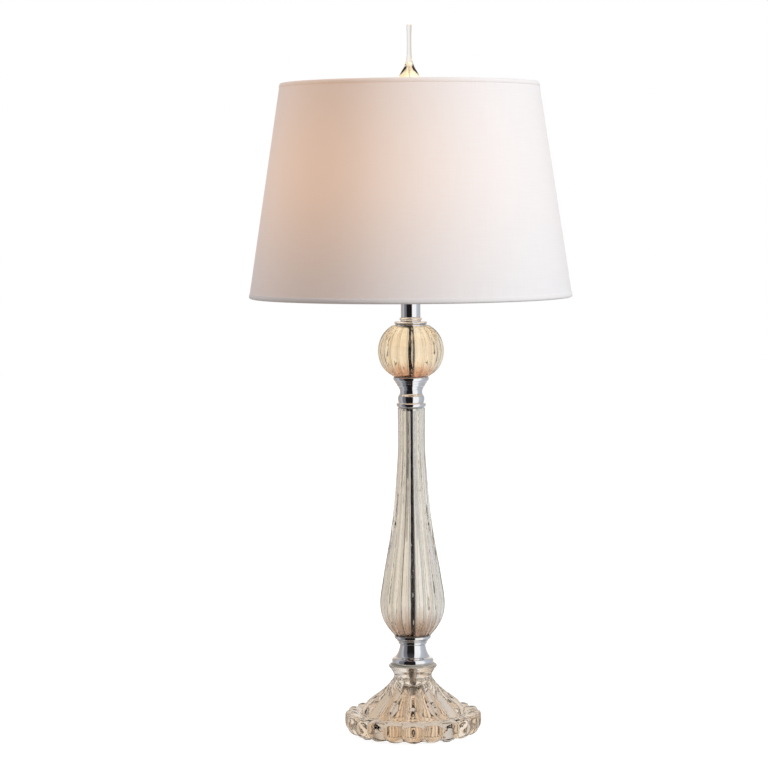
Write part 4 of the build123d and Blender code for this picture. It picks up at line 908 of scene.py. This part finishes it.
def slanted(share, out):
    """A point on the slant, from the bottom edge (0) to the top edge (1), set in by `out`."""
    return (bottom_radius + (top_radius - bottom_radius) * share + out * out_r,
            shade_low + (shade_high - shade_low) * share + out * out_z)


bottom_share, top_share = hem_height / slant, 1 - hem_height / slant


def cover_is_outside(r, z):
    share = (z - shade_low) / (shade_high - shade_low)
    return r > bottom_radius + (top_radius - bottom_radius) * share - 1.2


def seam_lap(angle_round, r, z):
    """Doubles the cloth over a narrow strip at the back, with eased edges."""
    if cover_is_outside(r, z):
        off = abs(atan2(sin(angle_round - pi / 2), cos(angle_round - pi / 2))) * r
        lap = min(1, max(0, (seam_half_width - off) / 0.8))
        return (r + lap_thickness * lap, z)
    return (r, z)


rows = 26
body_share = [bottom_share + (top_share - bottom_share) * k / rows for k in range(rows + 1)]
cover_outline = (
    [slanted(s, -0.35) for s in body_share]
    + [slanted(s, -1.0) for s in body_share[::-1]]
)
cover = lathe("linen_shade_cover", cover_outline, 720, shape=seam_lap)


def rolled_hem(name, at_top):
    """Cloth folded over the wire ring: proud on the outside, flat against the board inside."""
    edge, fold, turn = (1.0, top_share, -1) if at_top else (0.0, bottom_share, 1)
    roll = 1.5 / slant
    hem_end = edge + turn * 9.0 / slant
    over_ring = [(1.6, 0.0), (0.7, -0.25), (0.15, -1.1), (0, -2.2), (0.15, -3.4), (0.8, -4.1),
                 (2.2, -3.9)]
    under_ring = [(2.2, -3.3), (1.0, -3.5), (0.6, -3.2), (0.45, -2.2), (0.6, -1.3), (1.2, -0.95)]
    outline = (
        [slanted(fold, -0.9), slanted(fold, -0.12), slanted(fold - turn * 0.1 / slant, 0.0)]
        + [slanted(edge + turn * roll * rolls, out) for rolls, out in over_ring]
        + [slanted(hem_end, -2.4), slanted(hem_end, -1.9)]
        + [slanted(edge + turn * roll * rolls, out) for rolls, out in under_ring]
    )
    return lathe(name, outline, 360, smooth_below=60)


top_hem = rolled_hem("rolled_top_hem", True)
bottom_hem = rolled_hem("rolled_bottom_hem", False)


cloth_radius = 0.171   # of the shade at half its height, in metres


def cloth_map(piece):
    """A UV map in metres: round the shade, and up its slant."""
    layer = piece.data.uv_layers.new(name="cloth")
    for polygon in piece.data.polygons:
        first = None
        for loop in polygon.loop_indices:
            x, y, z = piece.data.vertices[piece.data.loops[loop].vertex_index].co
            turned = atan2(x, y)
            if first is None:
                first = turned
            elif turned - first > pi:
                turned -= 2 * pi
            elif first - turned > pi:
                turned += 2 * pi
            layer.data[loop].uv = (turned * cloth_radius, z / out_r)


for piece in (cover, top_hem, bottom_hem):
    cloth_map(piece)
finish_piece(cover, "shade", shade_linen, "white_linen", "shade_cover")
finish_piece(top_hem, "shade", shade_linen, "white_linen")
finish_piece(bottom_hem, "shade", hem_linen, "white_linen")

# ---- Floor, light and camera ----------------------------------------------------------------
# The table takes a matte shadow for the camera. To metal and glass it shows the surround, and
# close to the foot its own white, darker under the foot as a painted shadow; the surround seen
# beside the foot is dimmed as painted shade.
floor_half = 6.0
matte_share = 0.30     # of the table's white that is lit, and so takes the shadow
# Painted shade: the share of the surround that metal and glass see in the table beside the foot.
painted_close_shade = 0.6    # of the surround, as metal sees it in the table beside the foot
floor_mesh = bpy.data.meshes.new("floor")
floor_mesh.from_pydata(
    [(-floor_half, -floor_half, 0), (floor_half, -floor_half, 0), (floor_half, floor_half, 0),
     (-floor_half, floor_half, 0)], [], [(0, 1, 2, 3)])
floor = bpy.data.objects.new("floor", floor_mesh)
bpy.context.scene.collection.objects.link(floor)

paper = bpy.data.materials.new("white_paper")
paper.use_nodes = True
tree = paper.node_tree
tree.nodes.clear()
matte = tree.nodes.new("ShaderNodeBsdfDiffuse")
shine = tree.nodes.new("ShaderNodeEmission")
total = tree.nodes.new("ShaderNodeAddShader")
out = tree.nodes.new("ShaderNodeOutputMaterial")
path = tree.nodes.new("ShaderNodeLightPath")
where = tree.nodes.new("ShaderNodeTexCoord").outputs["Object"]
through_glass = maths(tree, "MULTIPLY", path.outputs["Is Transmission Ray"], glass_warmth)
seen = placed(tree, surround, Direction=where, Warmth=through_glass)
far = tree.nodes.new("ShaderNodeVectorMath")
far.operation = "LENGTH"
tree.links.new(where, far.inputs[0])
# Painted shade and shadow: the surround is dimmed beside the foot, and the table's white darkens
# under it.
painted_shade_surround = scaled(tree, seen.outputs["Color"], painted_close_shade)
table = scaled(tree, (1.0, 0.97, 0.94), ranged(tree, far.outputs["Value"], 0.06, 0.17, 0.70, 1.0))
close_by = mixed(tree, path.outputs["Is Transmission Ray"], painted_shade_surround, table)
near = ranged(tree, far.outputs["Value"], 0.14, 0.24, 1.0, 0.0)
mirrored = mixed(tree, near, seen.outputs["Color"], close_by)
white = ranged(tree, far.outputs["Value"], 0.12, 0.45, 0.87, 1.05)
plain = joined(tree, X=white, Y=white, Z=white)
straight = mixed(tree, path.outputs["Is Camera Ray"], mirrored, plain)
tree.links.new(straight, shine.inputs["Color"])
held_back = ranged(tree, far.outputs["Value"], 0.08, 0.12, 0.5, 1.0)
strength = maths(tree, "SUBTRACT", 1, maths(
    tree, "MULTIPLY", path.outputs["Is Diffuse Ray"], held_back))
tree.links.new(strength, shine.inputs["Strength"])
lit_directly = maths(tree, "MULTIPLY", maths(
    tree, "ADD", path.outputs["Is Camera Ray"], path.outputs["Is Diffuse Ray"]), matte_share)
tree.links.new(lit_directly, matte.inputs["Color"])
tree.links.new(matte.outputs[0], total.inputs[0])
tree.links.new(shine.outputs[0], total.inputs[1])
tree.links.new(total.outputs[0], out.inputs["Surface"])
floor_mesh.materials.append(paper)

world = bpy.data.worlds.new("studio")
bpy.context.scene.world = world
world.use_nodes = True
tree = world.node_tree
tree.nodes.clear()
out = tree.nodes.new("ShaderNodeOutputWorld")
sky = tree.nodes.new("ShaderNodeBackground")
where = tree.nodes.new("ShaderNodeTexCoord").outputs["Generated"]
path = tree.nodes.new("ShaderNodeLightPath")
through_glass = maths(tree, "MULTIPLY", path.outputs["Is Transmission Ray"], glass_warmth)
seen = placed(tree, surround, Direction=where, Warmth=through_glass)
lit = mixed(tree, path.outputs["Is Diffuse Ray"], seen.outputs["Color"], (0.345, 0.36, 0.385, 1))
view = mixed(tree, path.outputs["Is Camera Ray"], lit, (1, 1, 1, 1))
tree.links.new(view, sky.inputs["Color"])
tree.links.new(sky.outputs[0], out.inputs["Surface"])


def panel(name, bearing_degrees, elevation, distance, size, power, colour):
    """A soft panel aimed at the lamp; its bearing is turned from the front towards the right."""
    light = bpy.data.lights.new(name, "AREA")
    light.shape = "SQUARE"
    light.size = size
    light.energy = power
    light.color = colour
    holder = bpy.data.objects.new(name, light)
    bpy.context.scene.collection.objects.link(holder)
    target = Vector((0, 0, 0.5))
    a, e = radians(bearing_degrees), radians(elevation)
    spot = Vector((sin(a) * cos(e), -cos(a) * cos(e), sin(e))) * distance
    holder.location = target + spot
    holder.rotation_euler = spot.to_track_quat("Z", "Y").to_euler()
    holder.visible_camera = False
    holder.visible_glossy = False
    holder.visible_transmission = False
    return holder


panel("key_panel", 57, 24, 2.6, 1.3, 46, (1.0, 1.0, 1.0))
panel("left_rim_panel", -118, 20, 2.6, 1.0, 20, (0.97, 0.98, 1.0))
bulb_light_height = 0.70
bulb_light = bpy.data.lights.new("bulb_light", "POINT")
bulb_light.energy = 0.6
bulb_light.color = (1.0, 0.72, 0.42)
bulb_light.shadow_soft_size = 0.02
bulb_holder = bpy.data.objects.new("bulb_light", bulb_light)
bulb_holder.location = (0, 0, bulb_light_height)
bpy.context.scene.collection.objects.link(bulb_holder)

camera_place = (0, -2.985, 0.6419)
camera_yaw, camera_pitch, camera_roll = 0.617, 4.47, -0.40
camera_data = bpy.data.cameras.new("camera")
camera = bpy.data.objects.new("camera", camera_data)
bpy.context.scene.collection.objects.link(camera)
camera_data.sensor_width = 36.0
camera_data.lens = 116.6
camera.location = camera_place
camera.rotation_euler = (
    Matrix.Rotation(radians(camera_yaw), 3, "Z")
    @ Matrix.Rotation(radians(90 - camera_pitch), 3, "X")
    @ Matrix.Rotation(radians(camera_roll), 3, "Z")
).to_euler()
bpy.context.scene.camera = camera

scene = bpy.context.scene
scene.view_settings.view_transform = "Standard"
